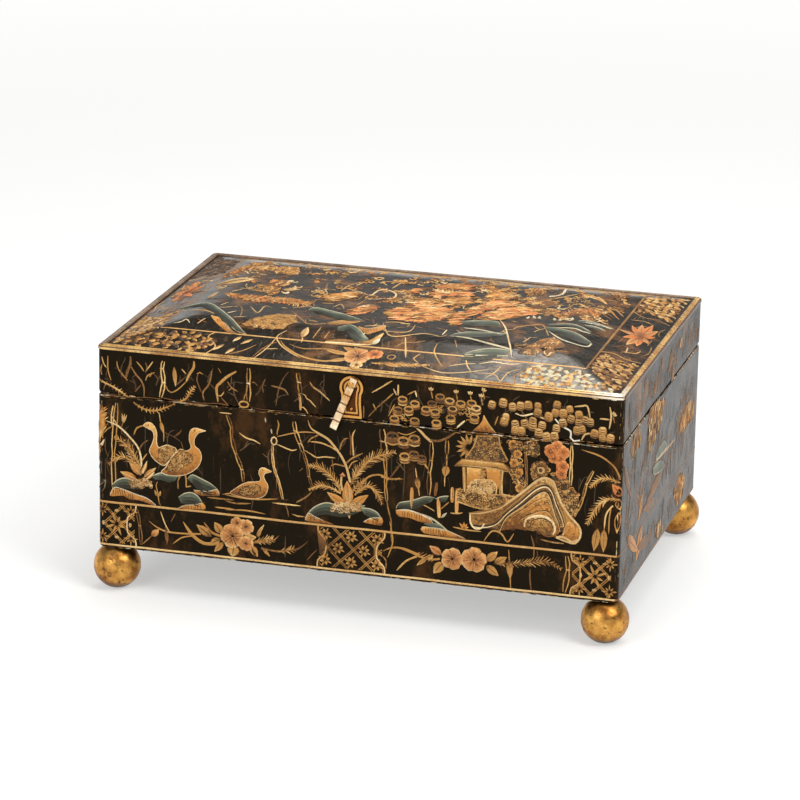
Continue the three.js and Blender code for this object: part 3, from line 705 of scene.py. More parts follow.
def smooth_copy(node, material, body, slot, angle=35, edge=0.0):
    """A merged copy of a CAD node. edge is the width of its softened edges, in millimetres."""
    shape = bmesh.new()
    shape.from_mesh(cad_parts[node].data)
    bmesh.ops.remove_doubles(shape, verts=shape.verts, dist=0.000001)
    bmesh.ops.dissolve_limit(shape, angle_limit=math.radians(0.5), verts=shape.verts, edges=shape.edges)
    piece = finish_piece(shape, f"{node}_finished", [material], angle)
    if edge:
        bevel = piece.modifiers.new("edge", "BEVEL")
        bevel.width = edge / METRE
        bevel.segments = 2
        bevel.limit_method = "ANGLE"
        bevel.angle_limit = math.radians(40)
    normals = piece.modifiers.new("normals", "WEIGHTED_NORMAL")
    normals.keep_sharp = True
    return settle(piece, body, slot, node)


for node in ("base_board", "front_board", "back_board", "left_board", "right_board"):
    smooth_copy(node, case_lacquer, "case", "lacquer")
for node in ("lid_front_rail", "lid_back_rail", "lid_left_rail"):
    smooth_copy(node, lid_lacquer, "lid", "lacquer")
smooth_copy("lid_right_rail", right_lid_lacquer, "lid", "lacquer")
for side, gilding in (
    ("front", moulding_leaf), ("right", moulding_right_leaf), ("back", worn_and_dimmed_moulding),
    ("left", worn_and_dimmed_moulding),
):
    smooth_copy(f"moulding_{side}", gilding, "lid", "gilt_wood", angle=62)
smooth_copy("clasp_plate", clasp_gilt, "lid", "gilt_brass", edge=0.22)
smooth_copy("hook_bar", highlit_hook_gilt, "hook", "gilt_brass", angle=25, edge=0.2)

# %% [markdown]
# The smaller metal and the dowels keep their CAD meshes and only change material.

# %% Finishes on the CAD nodes that stay
kept_finishes = {
    "hinge_": hinge_brass, "foot_dowel": beech, "clasp_rivet": clasp_gilt, "clasp_pin": clasp_gilt,
    "keeper_stud": clasp_gilt,
}
repainted = 0
for node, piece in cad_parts.items():
    for start, material in kept_finishes.items():
        if node.startswith(start):
            piece.data.materials.clear()
            piece.data.materials.append(material)
            repainted += 1
print("CAD nodes with a new finish:", repainted)

# %% [markdown]
# The ball feet are turned wood, gessoed and gilt by hand, so they are round but not perfect. A
# fine sphere is cut flat where it stands and where it meets the case, and smooth noise moves
# its skin by less than a fifth of a millimetre.

# %% Ball feet
foot_flat = 0.3


def to_metres(shape):
    """Points every face outwards and takes a shape drawn in millimetres to its real size."""
    bmesh.ops.recalc_face_normals(shape, faces=shape.faces)
    bmesh.ops.scale(shape, verts=shape.verts, vec=(1 / METRE,) * 3)


def only(kind, parts):
    """The vertices, the edges or the faces among what an operator gives back."""
    return [part for part in parts if isinstance(part, kind)]


def cut_through(shape, place, normal, clear_outer=False):
    """Cuts all of a shape with a plane, and gives back the edges of the cut."""
    everything = shape.verts[:] + shape.edges[:] + shape.faces[:]
    plane = {"plane_co": place, "plane_no": normal, "clear_outer": clear_outer}
    cut = bmesh.ops.bisect_plane(shape, geom=everything, **plane)
    return only(bmesh.types.BMEdge, cut["geom_cut"])


def ball_foot(node):
    low, high = edges_of(node)
    radius = (high.x - low.x) / 2
    centre = Vector(((low.x + high.x) / 2, (low.y + high.y) / 2, radius - foot_flat))
    shape = bmesh.new()
    bmesh.ops.create_uvsphere(shape, u_segments=64, v_segments=40, radius=radius)
    for vert in shape.verts:
        turn = math.atan2(vert.co.y, vert.co.x)
        dent = 0.05 * math.sin(3 * turn + vert.co.z * 0.4) + 0.05 * math.sin(5 * turn - vert.co.z * 0.7)
        vert.co *= 1 - abs(dent) / radius
    bmesh.ops.translate(shape, verts=shape.verts, vec=centre)
    for level, way in ((low.z, -1), (high.z, 1)):
        rim = cut_through(shape, (0, 0, level), (0, 0, way), clear_outer=True)
        bmesh.ops.contextual_create(shape, geom=rim)
    to_metres(shape)
    settle(finish_piece(shape, f"{node}_ball", [ball_leaf], 40), "case", "gilt_wood", node)


for place in ("front_left", "front_right", "back_left", "back_right"):
    ball_foot(f"foot_{place}")
print("ball feet made, each", round(edges_of("foot_front_left")[1].z, 1), "mm high")

# %% [markdown]
# The lid's roof has four slopes and a flat top. On the real box the lines where the slopes
# meet are soft under many coats of lacquer. A grid is raised by one height function, in which
# the two distances to the edges are blended near the corners, and its border is then drawn
# down and in to make the tongue that sits in the lid. The painting uses the same function.

# %% The roof of the lid
roof_inset = 4.6
tongue_inset = 9.2
roof_edge_x = half_width - roof_inset
roof_edge_y = half_depth - roof_inset
roof_edge_level = lid_top + 1.6
roof_rise = roof_top - roof_edge_level
slope_width = 50.0
ease_width = 12.0
hip_softness = 7.0


def roof_level(x, y):
    """The height of the roof's skin above the floor, in millimetres."""
    from_x = roof_edge_x - abs(x)
    from_y = roof_edge_y - abs(y)
    close = max(hip_softness - abs(from_x - from_y), 0) / hip_softness
    inward = max(min(from_x, from_y) - close * close * hip_softness / 4, 0)
    slope = roof_rise / (slope_width - ease_width / 2)
    ease_start = slope_width - ease_width
    if inward <= ease_start:
        return roof_edge_level + slope * inward
    part = min((inward - ease_start) / ease_width, 1)
    return roof_edge_level + slope * (ease_start + ease_width * (part - part * part / 2))


def make_roof():
    shape = bmesh.new()
    bmesh.ops.create_grid(shape, x_segments=150, y_segments=104, size=1)
    for vert in shape.verts:
        x, y = vert.co.x * roof_edge_x, vert.co.y * roof_edge_y
        vert.co = (x, y, roof_level(x, y))
    tongue_x, tongue_y = half_width - tongue_inset, half_depth - tongue_inset
    rim = [edge for edge in shape.edges if edge.is_boundary]
    for half_x, half_y, level in (
        (roof_edge_x, roof_edge_y, lid_top), (tongue_x, tongue_y, lid_top),
        (tongue_x, tongue_y, edges_of("roof_panel")[0].z),
    ):
        grown = bmesh.ops.extrude_edge_only(shape, edges=rim)["geom"]
        for vert in only(bmesh.types.BMVert, grown):
            x, y, _ = vert.co
            vert.co = (max(min(x, half_x), -half_x), max(min(y, half_y), -half_y), level)
        rim = only(bmesh.types.BMEdge, grown)
    bmesh.ops.contextual_create(shape, geom=rim)
    bmesh.ops.remove_doubles(shape, verts=shape.verts, dist=0.0001)
    to_metres(shape)
    return settle(finish_piece(shape, "roof_skin", [roof_lacquer], 40), "lid", "lacquer", "roof_panel")


print("roof faces:", len(make_roof().data.polygons))

# %% [markdown]
# The linings are boards with felt glued round them. A cube is drawn out to the size of the CAD
# pad, its edges are rounded where the felt turns over, and the skin sinks and swells a little.

# %% Felt linings
def felt_lining(node, body):
    """A lining with round edges, cut into a fine grid so that its skin can swell."""
    low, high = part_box(node)
    shape = bmesh.new()
    bmesh.ops.create_cube(shape, size=1)
    bmesh.ops.scale(shape, verts=shape.verts, vec=high - low)
    bmesh.ops.translate(shape, verts=shape.verts, vec=(low + high) / 2)
    bmesh.ops.bevel(
        shape, geom=shape.edges[:], offset=0.0009, offset_type="OFFSET", segments=3, profile=0.5,
        affect="EDGES", material=-1,
    )
    for normal, count in ((Vector((1, 0, 0)), 40), (Vector((0, 1, 0)), 28)):
        for step in range(1, count):
            cut_through(shape, normal * normal.dot(low + (high - low) * step / count), normal)
    for vert in shape.verts:
        sink = 0.00009 * (1 + math.sin(vert.co.x * 95 + 2 * math.sin(vert.co.y * 60)))
        towards = -1 if vert.co.z > (low.z + high.z) / 2 else 1
        vert.co.z += towards * sink
    bmesh.ops.recalc_face_normals(shape, faces=shape.faces)
    settle(finish_piece(shape, f"{node}_felt", [felt], 50), body, "lining", node)


felt_lining("floor_lining", "case")
felt_lining("lid_lining", "lid")
print("felt linings made")

# %% [markdown]
# The painting stands a little above the lacquer, as it does on the real box, where each shape
# was built up in coats and then gilded. So it is made as thin relief. Everything is drawn flat
# first, in millimetres, on a sheet for each face, and then laid on the face by one function:
# the walls unroll into one long strip round the box, and the roof is drawn as seen from above.

# %% Where a flat drawing lands on the box
straight_x = half_width - corner_radius
straight_y = half_depth - corner_radius
corner_arc = corner_radius * math.pi / 2
side_middle = straight_x + corner_arc + straight_y
half_girth = side_middle + straight_y + corner_arc + straight_x


def on_wall(along, level, out):
    """A point on the walls. along runs to the right from the middle of the front."""
    walk = (along + half_girth) % (2 * half_girth) - half_girth
    side = math.copysign(1, walk)
    walk = abs(walk)
    reach = corner_radius + out
    if walk <= straight_x:
        x, y = walk, -half_depth - out
    elif walk <= straight_x + corner_arc:
        turn = (walk - straight_x) / corner_radius
        x, y = straight_x + reach * math.sin(turn), -straight_y - reach * math.cos(turn)
    elif walk <= side_middle + straight_y:
        x, y = half_width + out, walk - side_middle
    elif walk <= side_middle + straight_y + corner_arc:
        turn = (walk - side_middle - straight_y) / corner_radius
        x, y = straight_x + reach * math.cos(turn), straight_y + reach * math.sin(turn)
    else:
        x, y = half_girth - walk, half_depth + out
    return Vector((side * x, y, level))


def on_roof(x, y, out):
    """A point on the roof of the lid, as seen from above with the front towards you."""
    return Vector((x, y, roof_level(x, y) + out))


def new_sheet(name, body, lay):
    """A sheet to draw on: its body, and the function that lays it on the box."""
    return {"name": name, "body": body, "lay": lay, "strokes": [], "patches": []}


print(f"the walls unroll to {2 * half_girth:.0f} mm")

# %% [markdown]
# Two marks make the whole painting. A stroke is what one pull of the brush leaves: a line that
# swells in the middle and thins at its ends. A patch is a filled shape with a soft edge. Both
# are first kept as plain lists of points. A smooth line is drawn through a few given points.

# %% Strokes and patches
chance = random.Random(8)
brush = random.Random(5)
LOADS = (0.12, 0.38, 0.62, 0.88)
LOAD_ODDS = (2, 3, 4, 2)


def flowing(points, spacing=2.0, closed=False):
    """Points along a smooth line through the given ones."""
    knots = [Vector(point) for point in points]
    count = len(knots)
    spans = count if closed else count - 1
    line = []
    for index in range(spans):
        around = [index + shift for shift in (-1, 0, 1, 2)]
        if closed:
            around = [place % count for place in around]
        before, start, end, after = (knots[min(max(place, 0), count - 1)] for place in around)
        steps = max(1, round((end - start).length / spacing))
        for step in range(steps):
            t = step / steps
            bend = (end - before) * t + (2 * before - 5 * start + 4 * end - after) * t * t
            bend += (3 * start - before - 3 * end + after) * t * t * t
            line.append(start + bend / 2)
    if not closed:
        line.append(knots[-1])
    return line


def stroke(sheet, paint, points, width, start=0.35, end=0.35, lift=0.0, spacing=2.0, load=None):
    """One pull of the brush. start and end say how thin it gets at its two ends, and load
    how much gold is on it, from 0 to 3. Left out, it is as chance has it."""
    line = flowing(points, spacing)
    last = len(line) - 1
    radii = []
    for index in range(last + 1):
        part = index / last
        swell = min(1, start + (1 - start) * part * 4, end + (1 - end) * (1 - part) * 4)
        radii.append(width / 2 * swell)
    if load is None:
        load = brush.choices(range(len(LOADS)), LOAD_ODDS)[0]
    sheet["strokes"].append((paint, load, line, radii, lift))


def patch(sheet, paint, outline, rise=0.16, lift=0.0, spacing=2.0, smooth=True, dark_at=None):
    """A filled shape, shaded from its dark foot to its bright top, or outwards from a point.
    Each is a hair higher than the last, so that no two lie in one plane."""
    rise += 0.004 * (len(sheet["patches"]) % 25)
    line = flowing(outline, spacing, closed=True) if smooth else [Vector(point) for point in outline]
    if dark_at is None:
        depths = [y for _, y in line]
    else:
        depths = [(point - Vector(dark_at)).length for point in line]
    low, span = min(depths), max(max(depths) - min(depths), 0.1)
    loads = [0.1 + 0.75 * (depth - low) / span for depth in depths]
    sheet["patches"].append((paint, line, loads, rise, lift))


def turned(direction, degrees):
    """A flat direction turned anticlockwise."""
    angle = math.radians(degrees)
    x, y = direction
    return Vector((x * math.cos(angle) - y * math.sin(angle), x * math.sin(angle) + y * math.cos(angle)))


def heading(degrees):
    """The unit direction at an angle: nought is to the right, 90 is up."""
    return turned((1, 0), degrees)


print("two marks: stroke and patch")

# %% [markdown]
# To become a mesh, the strokes of one paint go into one curve whose radius follows the brush,
# and the curve's round section is pressed flat. Each patch is a face that is drawn up and
# inset, so that its edge slopes. A roof patch is cut where the roof bends, and last of all
# every point is moved from the flat drawing to the box.

# %% From drawing to relief
FLATTENING = 0.34
SUNK = 0.02
PATCH_SLOPE = 0.16
PAINT_ORDER = list(paints)


def add_strokes(shape, sheet):
    """Adds all strokes of a sheet, one curve for each paint and load."""
    for paint, load in itertools.product(PAINT_ORDER, range(len(LOADS))):
        marks = [mark for mark in sheet["strokes"] if mark[:2] == (paint, load)]
        if not marks:
            continue
        curve = bpy.data.curves.new("marks", "CURVE")
        curve.dimensions = "3D"
        curve.bevel_depth = 1.0
        curve.bevel_resolution = 0
        curve.use_fill_caps = True
        for _, _, line, radii, lift in marks:
            spline = curve.splines.new("POLY")
            spline.points.add(len(line) - 1)
            level = lift / FLATTENING
            spline.points.foreach_set("co", [value for x, y in line for value in (x, y, level, 1.0)])
            spline.points.foreach_set("radius", radii)
        holder = bpy.data.objects.new("marks", curve)
        mesh = bpy.data.meshes.new_from_object(holder)
        mesh.polygons.foreach_set("material_index", [PAINT_ORDER.index(paint)] * len(mesh.polygons))
        tone = mesh.attributes.new("load", "FLOAT", "POINT")
        tone.data.foreach_set("value", [LOADS[load]] * len(mesh.vertices))
        for vert in mesh.vertices:
            vert.co.z *= FLATTENING
        shape.from_mesh(mesh)
        bpy.data.objects.remove(holder)
        bpy.data.meshes.remove(mesh)
        bpy.data.curves.remove(curve)


def add_patches(shape, sheet):
    """Adds all patches of a sheet, each as a low block with a sloping edge."""
    tone = shape.verts.layers.float.new("load")
    for paint, line, loads, rise, lift in sheet["patches"]:
        outline = [shape.verts.new((x, y, lift - SUNK)) for x, y in line]
        for vert, load in zip(outline, loads):
            vert[tone] = load
        face = shape.faces.new(outline)
        face.normal_update()
        if face.normal.z < 0:
            face.normal_flip()
        face.material_index = PAINT_ORDER.index(paint)
        grown = bmesh.ops.extrude_face_region(shape, geom=[face], use_keep_orig=True)["geom"]
        top = only(bmesh.types.BMFace, grown)
        lifted = (0, 0, rise * 0.6 + SUNK)
        bmesh.ops.translate(shape, verts=only(bmesh.types.BMVert, grown), vec=lifted)
        bmesh.ops.inset_region(
            shape, faces=top, thickness=PATCH_SLOPE, depth=rise * 0.4, use_even_offset=False
        )


def cut_at_bends(shape):
    """Cuts the drawing along the lines where the roof's slope changes."""
    inwards = (slope_width - ease_width, slope_width - ease_width / 2, slope_width)
    for edge, normal in ((roof_edge_x, Vector((1, 0, 0))), (roof_edge_y, Vector((0, 1, 0)))):
        for inward, side in itertools.product(inwards, (-1, 1)):
            cut_through(shape, normal * side * (edge - inward), normal)
    shifts = (-0.6 * hip_softness, 0, 0.6 * hip_softness)
    for side_x, side_y, shift in itertools.product((-1, 1), (-1, 1), shifts):
        place = (side_x * (roof_edge_x + shift), side_y * roof_edge_y, 0)
        cut_through(shape, place, (side_x, -side_y, 0))


def lay_sheet(sheet):
    """Turns a sheet into relief, lays it on the box and counts what is on it."""
    shape = bmesh.new()
    add_patches(shape, sheet)
    bmesh.ops.triangulate(shape, faces=[face for face in shape.faces if len(face.verts) > 4])
    if sheet["lay"] is on_roof:
        cut_at_bends(shape)
    add_strokes(shape, sheet)
    bmesh.ops.recalc_face_normals(shape, faces=shape.faces)
    for vert in shape.verts:
        vert.co = sheet["lay"](*vert.co) / METRE
    piece = settle(finish_piece(shape, sheet["name"], paints.values(), 70), sheet["body"], "lacquer")
    triangles = sum(len(face.vertices) - 2 for face in piece.data.polygons)
    counts = f"{len(sheet['strokes'])} strokes, {len(sheet['patches'])} patches, {triangles} triangles"
    print(f"{piece.name}: {counts}")


print("paints in order:", ", ".join(PAINT_ORDER))

# %% [markdown]
# The painter's stock of motifs comes next. Each is built of strokes and patches and takes its
# place and size, because the same leaf, frond, blossom or cane comes back all over the box.

# %% Leaves and fronds
def leaf(sheet, paint, base, tip, width, vein="deep", lift=0.0):
    """A lens-shaped leaf with a vein."""
    base, tip = Vector(base), Vector(tip)
    along = tip - base
    across = turned(along.normalized(), 90) * width / 2
    shares = ((0.0, 0.06), (0.18, 0.72), (0.4, 1.0), (0.65, 0.82), (0.88, 0.3))
    left = [base + along * part + across * share for part, share in shares]
    right_side = [base + along * part - across * share for part, share in reversed(shares)]
    patch(sheet, paint, left + [tip] + right_side, lift=lift, smooth=False, dark_at=base)
    if vein:
        stroke(sheet, vein, [base + along * 0.1, base + along * 0.85], width * 0.1, lift=lift + 0.2)
        if width > 3:
            for rim in (left + [tip], right_side[::-1] + [tip]):
                stroke(sheet, vein, rim, 0.32, lift=lift + 0.1, spacing=6)


def frond(sheet, paint, spine, reach, step=1.5, lean=40, width=0.62, one_sided=0):
    """A spine with fine leaflets on both sides, longest in the middle."""
    line = flowing(spine, step * 1.25)
    stroke(sheet, paint, spine, width * 1.7, start=1.0, end=0.3)
    for index in range(1, len(line) - 1):
        ahead = (line[index + 1] - line[index - 1]).normalized()
        part = index / (len(line) - 1)
        length = reach * math.sin(math.pi * (0.12 + 0.8 * part)) * chance.uniform(0.8, 1.15)
        for side in (-1, 1):
            if one_sided in (0, side):
                tip = line[index] + turned(ahead, side * lean * chance.uniform(0.85, 1.15)) * length
                bend = (line[index] + tip) / 2 + ahead * length * 0.08
                stroke(sheet, paint, [line[index], bend, tip], width, start=0.9, end=0.2, spacing=1.6)


PETALS = 5
PETAL_SIDE = ((0.12, 0.10), (0.45, 0.75), (0.75, 1.0), (0.98, 0.62), (1.0, 0.15))
PETAL = PETAL_SIDE + tuple((far, -share) for far, share in reversed(PETAL_SIDE))


def blossom(sheet, centre, radius, paint, turn):
    """A flower of round petals with veins and a dotted centre."""
    centre = Vector(centre)
    wide = radius * math.sin(math.pi / PETALS) * 0.86
    for number in range(PETALS):
        angle = turn + 360 * number / PETALS
        out, across = heading(angle) * radius, heading(angle + 90) * wide
        outline = [centre + out * far + across * share for far, share in PETAL]
        patch(sheet, paint, outline, rise=0.22, spacing=radius * 0.3, dark_at=centre)
        stroke(sheet, "pale", outline, radius * 0.07, 1, 1, lift=0.14, spacing=radius * 0.4)
        gap = heading(angle + 180 / PETALS) * radius
        stroke(sheet, "ink", [centre + gap * 0.15, centre + gap * 0.9], radius * 0.1, 1, 0.6, lift=0.2)
        for share in (-0.35, 0.0, 0.35):
            vein = [centre + out * 0.2, centre + out * 0.7 + across * share]
            stroke(sheet, "deep", vein, radius * 0.07, lift=0.3)
    for number in range(6):
        out = heading(60 * number) * radius
        stroke(sheet, "deep", [centre + out * 0.14, centre + out * 0.22], radius * 0.09, lift=0.32)


def bud(sheet, base, tip, width, paint):
    """A closed bud on its stalk: three narrow leaves that hold together."""
    base, tip = Vector(base), Vector(tip)
    along = tip - base
    for angle in (-14, 0, 14):
        leaf(sheet, paint, base, base + turned(along, angle), width * 0.5, vein=None)


print("leaves, fronds, blossoms and buds")

# %% [markdown]
# Trunks and canes are drawn in outline, as two lines side by side that draw in at the joints.
# Bare twigs fork like a crack in ice, which is the pattern of the upper left of the box.

# %% Canes, spindles and bare twigs
def cane(sheet, points, gap=2.2, paint="gold", width=0.75):
    """Two lines side by side that come near each other at every given point."""
    line = flowing(points, 3.0)
    joints = [Vector(point) for point in points]
    for side in (-1, 1):
        edge = []
        for index, point in enumerate(line):
            before, after = line[max(index - 1, 0)], line[min(index + 1, len(line) - 1)]
            across = turned((after - before).normalized(), 90)
            near = min((point - joint).length for joint in joints)
            edge.append(point + across * side * gap / 2 * (0.45 + 0.55 * min(near / 6, 1)))
        stroke(sheet, paint, edge, width, start=0.6, end=0.5, spacing=3.0)
    for joint in joints[1:-1]:
        half_joint = Vector((gap / 2, -0.2))
        stroke(sheet, "pale", [joint - half_joint, joint + half_joint], width, lift=0.1)


def spindle(sheet, points, width, paint="gold"):
    """A cane that swells to a pod in the middle."""
    line = flowing(points, 2.0)
    stroke(sheet, paint, points, 0.8, start=0.5, end=0.4)
    middle = len(line) // 2
    span = max(2, len(line) // 5)
    low, high = line[max(middle - span, 0)], line[min(middle + span, len(line) - 1)]
    leaf(sheet, paint, low, high, width, vein="deep", lift=0.02)


def twig(sheet, start, angle, length, paint, width, forks):
    """A bare twig: a bent line that forks into smaller ones."""
    start = Vector(start)
    bend = start + heading(angle) * length * 0.5
    tip = bend + heading(angle + chance.uniform(-28, 28)) * length * 0.5
    stroke(sheet, paint, [start, bend, tip], width, start=0.8, end=0.3)
    if forks:
        for side in (-1, 1):
            turn = angle + side * chance.uniform(32, 62)
            shorter = length * chance.uniform(0.42, 0.6)
            twig(sheet, bend if side > 0 else tip, turn, shorter, paint, width * 0.8, forks - 1)


def spike(sheet, paint, points, width):
    """A plain grass blade, thick at its foot."""
    stroke(sheet, paint, points, width, start=1.0, end=0.1)


print("canes, spindles and twigs")

# %% [markdown]
# Rounded pods hang in clusters on the lid and on the front: a short cup with a ring for its
# mouth, drawn with a few arcs. The bands carry small flowers made of plain petals.

# %% Pods, curls and stars
def ring(sheet, paint, centre, radius, width, squash_to=1.0, lift=0.0, start=0.0, sweep=360.0, points=9):
    """A ring or an arc drawn with one stroke."""
    centre = Vector(centre)
    line = []
    for step in range(points):
        angle = math.radians(start + sweep * step / (points - 1))
        line.append(centre + Vector((math.cos(angle), math.sin(angle) * squash_to)) * radius)
    stroke(sheet, paint, line, width, start=1.0, end=1.0, lift=lift, spacing=1.4)


def pod(sheet, centre, size, tilt=0.0):
    """A short cup with a ring for its mouth."""
    centre = Vector(centre)
    up_way, across = heading(90 + tilt), heading(tilt)
    foot = centre - up_way * size * 0.42
    brim, bottom = across * size * 0.44, across * size * 0.38
    cup = [centre - brim, centre + brim, foot + bottom, foot - bottom]
    patch(sheet, "deep", cup, rise=0.1, spacing=1.5)
    mouth = centre + up_way * size * 0.12
    ring(sheet, "gold", mouth, size * 0.42, size * 0.17, squash_to=0.62, lift=0.1)
    patch(sheet, "ink", [mouth + heading(angle) * size * 0.18 for angle in range(0, 360, 72)], rise=0.16)
    for drop in (0.14, 0.36):
        middle = centre - up_way * size * drop
        sag = middle - up_way * size * 0.12
        arc = [middle - across * size * 0.42, sag, middle + across * size * 0.42]
        stroke(sheet, "gold", arc, size * 0.13, start=0.7, end=0.7, lift=0.1, spacing=1.5)


CURL = (0.35, 0.65)


def curls(sheet, centre, half_x, half_y, count, paint, size, width=0.5):
    """A scribble of small curls that fills an oval."""
    for _ in range(count):
        angle, far = chance.uniform(0, 360), math.sqrt(chance.random())
        spot = Vector(centre) + Vector((math.cos(angle) * half_x, math.sin(angle) * half_y)) * far
        radius, turn = size * chance.uniform(*CURL), chance.uniform(0, 360)
        ring(sheet, paint, spot, radius, width, 0.8, 0.05, turn, 230, 5)


def petal(sheet, paint, centre, angle, near, far, width):
    """A plain petal that points away from a centre."""
    centre, out = Vector(centre), heading(angle)
    leaf(sheet, paint, centre + out * near, centre + out * far, width, vein=None)


def star(sheet, centre, radius, turn=0.0):
    """A star flower: four long petals and four short ones."""
    for number in range(8):
        reach = radius if number % 2 == 0 else radius * 0.7
        petal(sheet, "gold", centre, turn + 45 * number, radius * 0.14, reach, radius * 0.2)


def clover(sheet, centre, size, turn):
    """A small flower of three lobes that fills a gap in the lattice."""
    for angle in (-38, 0, 38):
        petal(sheet, "pale", centre, turn + angle, 0, size, size * 0.55)


def daisy(sheet, paint, centre, radius, first, last, count):
    """Narrow petals that fan out from one point."""
    for step in range(count):
        angle = first + (last - first) * step / (count - 1)
        petal(sheet, paint, centre, angle, radius * 0.2, radius, radius * 0.22)


print("pods, curls and stars")

# %% [markdown]
# Ground is painted as low banks: a band of grey-green along the crest that fades into the
# black below it, a pale line on the edge, and a strip of bare rock in orange and cream where
# the bank is undercut.

# %% Banks, rock faces and birds
def bank(sheet, crest, fade):
    """A bank of ground, given by its crest and how deep the colour runs below it."""
    line = flowing(crest, 3.0)
    last = len(line) - 1

    def lowered(share):
        """The crest moved down towards the foot of the bank."""
        foot = []
        for index, point in enumerate(line):
            drop = fade * max(0, math.sin(math.pi * index / last)) ** 0.5
            foot.append(point - Vector((0, drop * share)))
        return foot

    patch(sheet, "teal", line + lowered(1.0)[::-1], rise=0.10, smooth=False)
    for share, paint, load in (
        (0.9, "shade", 0), (0.7, "shade", 0), (0.45, "shade", 1), (0.16, "teal", 2)
    ):
        stroke(sheet, paint, lowered(share)[1:-1], fade * 0.2, 0.2, 0.2, lift=0.12, load=load)
    stroke(sheet, "cream", crest, 0.7, start=0.2, end=0.2, lift=0.16, load=2)


def rock_face(sheet, outline, ribs):
    """Bare rock below a bank: an orange patch with short brown lines across it."""
    patch(sheet, "amber", outline, rise=0.16)
    stroke(sheet, "cream", outline[: len(outline) * 2 // 3], 0.6, lift=0.22)
    for top, foot in ribs:
        for shift in (-1.6, 0, 1.5):
            slip = Vector((shift + chance.uniform(-0.4, 0.4), 0))
            stroke(sheet, "deep", [Vector(top) + slip, Vector(foot) + slip], 0.45, lift=0.26, load=0)


def inside(point, corners):
    """Whether a point lies in a flat outline."""
    x, y = point
    within = False
    for first, second in zip(corners, corners[1:] + corners[:1]):
        if (first.y > y) != (second.y > y):
            crossing = first.x + (y - first.y) / (second.y - first.y) * (second.x - first.x)
            within ^= x < crossing
    return within


def frame_round(corners):
    """The left, low, right and high ends of an outline."""
    across, upwards = zip(*corners)
    return min(across), min(upwards), max(across), max(upwards)


def spots_inside(outline, per_area):
    """Spots in an outline as chance has them, so many for each hundred square millimetres."""
    corners = [Vector(point) for point in outline]
    low_x, low_y, high_x, high_y = frame_round(corners)
    for _ in range(round((high_x - low_x) * (high_y - low_y) * per_area / 100)):
        spot = (chance.uniform(low_x, high_x), chance.uniform(low_y, high_y))
        if inside(spot, corners):
            yield Vector(spot)


def scribble(sheet, outline, per_area, paint="deep", size=1.6, width=0.4, lift=0.3):
    """Small curls all over an outline."""
    for spot in spots_inside(outline, per_area):
        turn = chance.uniform(0, 360)
        ring(sheet, paint, spot, size * chance.uniform(*CURL), width, 0.8, lift, turn, 220, 5)


def curled_patch(sheet, paint, outline, rise, *layers, smooth=True):
    """A patch with layers of small curls over it."""
    patch(sheet, paint, outline, rise=rise, smooth=smooth)
    for layer in layers:
        scribble(sheet, outline, *layer)


def bird(sheet, body, wing, eye, legs=()):
    """A water bird in profile, from its outline, its wing, its eye and its legs."""
    patch(sheet, "amber", body, rise=0.2, spacing=1.4)
    stroke(sheet, "pale", body + body[:1], 0.6, start=1, end=1, lift=0.16, spacing=1.4, load=3)
    patch(sheet, "deep", wing, rise=0.3, spacing=1.4)
    stroke(sheet, "ink", wing + wing[:1], 0.5, start=1, end=1, lift=0.28, spacing=1.4)
    scribble(sheet, wing, 90, "gold", 2.0, 0.42, 0.4)
    scribble(sheet, wing, 30, "ink", 1.8, 0.34, 0.42)
    ring(sheet, "ink", eye, 0.35, 0.4, lift=0.34, points=5)
    for leg in legs:
        stroke(sheet, "gold", leg, 0.9, start=1, end=0.7)


def between(first, second, share, spans=25):
    """A line part of the way from one line to another."""
    lines = []
    for line in (flowing(first, 1.0), flowing(second, 1.0)):
        lines.append([line[round(step * (len(line) - 1) / spans)] for step in range(spans + 1)])
    return [start.lerp(end, share) for start, end in zip(*lines)]


def foliage(sheet, outline, paint, size=7.0, per_area=12.0, lean=90.0):
    """Foliage far off: short leaves side by side all over an outline, some dark, some bright."""
    patch(sheet, "deep", outline, rise=0.06)
    for spot in spots_inside(outline, per_area):
        way = heading(lean + chance.uniform(-40, 40)) * size * chance.uniform(0.5, 1.0)
        curl = turned(way, 90) * chance.uniform(-0.2, 0.2)
        tint = chance.choice([paint, paint, paint, "gold", "amber", "pale"])
        mark = [spot - way / 2, spot + curl, spot + way / 2]
        width = size * chance.uniform(0.12, 0.26)
        stroke(sheet, tint, mark, width, lift=chance.uniform(0.08, 0.3), spacing=4)


def flecks(sheet, start, end, colours, width, gaps=4.0):
    """Specks in a broken line along an edge: wear, and in pale paints also a painted highlight."""
    start, end = Vector(start), Vector(end)
    ahead = (end - start).normalized()
    along = 0.0
    while along < (end - start).length - 5:
        length = chance.uniform(0.6, 5.0)
        aside = start + turned(ahead, 90) * chance.uniform(-0.3, 0.3)
        speck = [aside + ahead * along, aside + ahead * (along + length)]
        stroke(sheet, chance.choice(colours), speck, width * chance.uniform(0.5, 1.0), spacing=2.5)
        along += length + chance.uniform(0.4, gaps)


print("banks, rock, birds and foliage")

# %% [markdown]
# Gold lines divide the walls: one round the case below the pictures, one at its foot. They run
# round the rounded corners without a gap, so each is drawn along the whole unrolled wall.

# %% Lines round the walls
line_level = 59.9
foot_line_level = 31.3


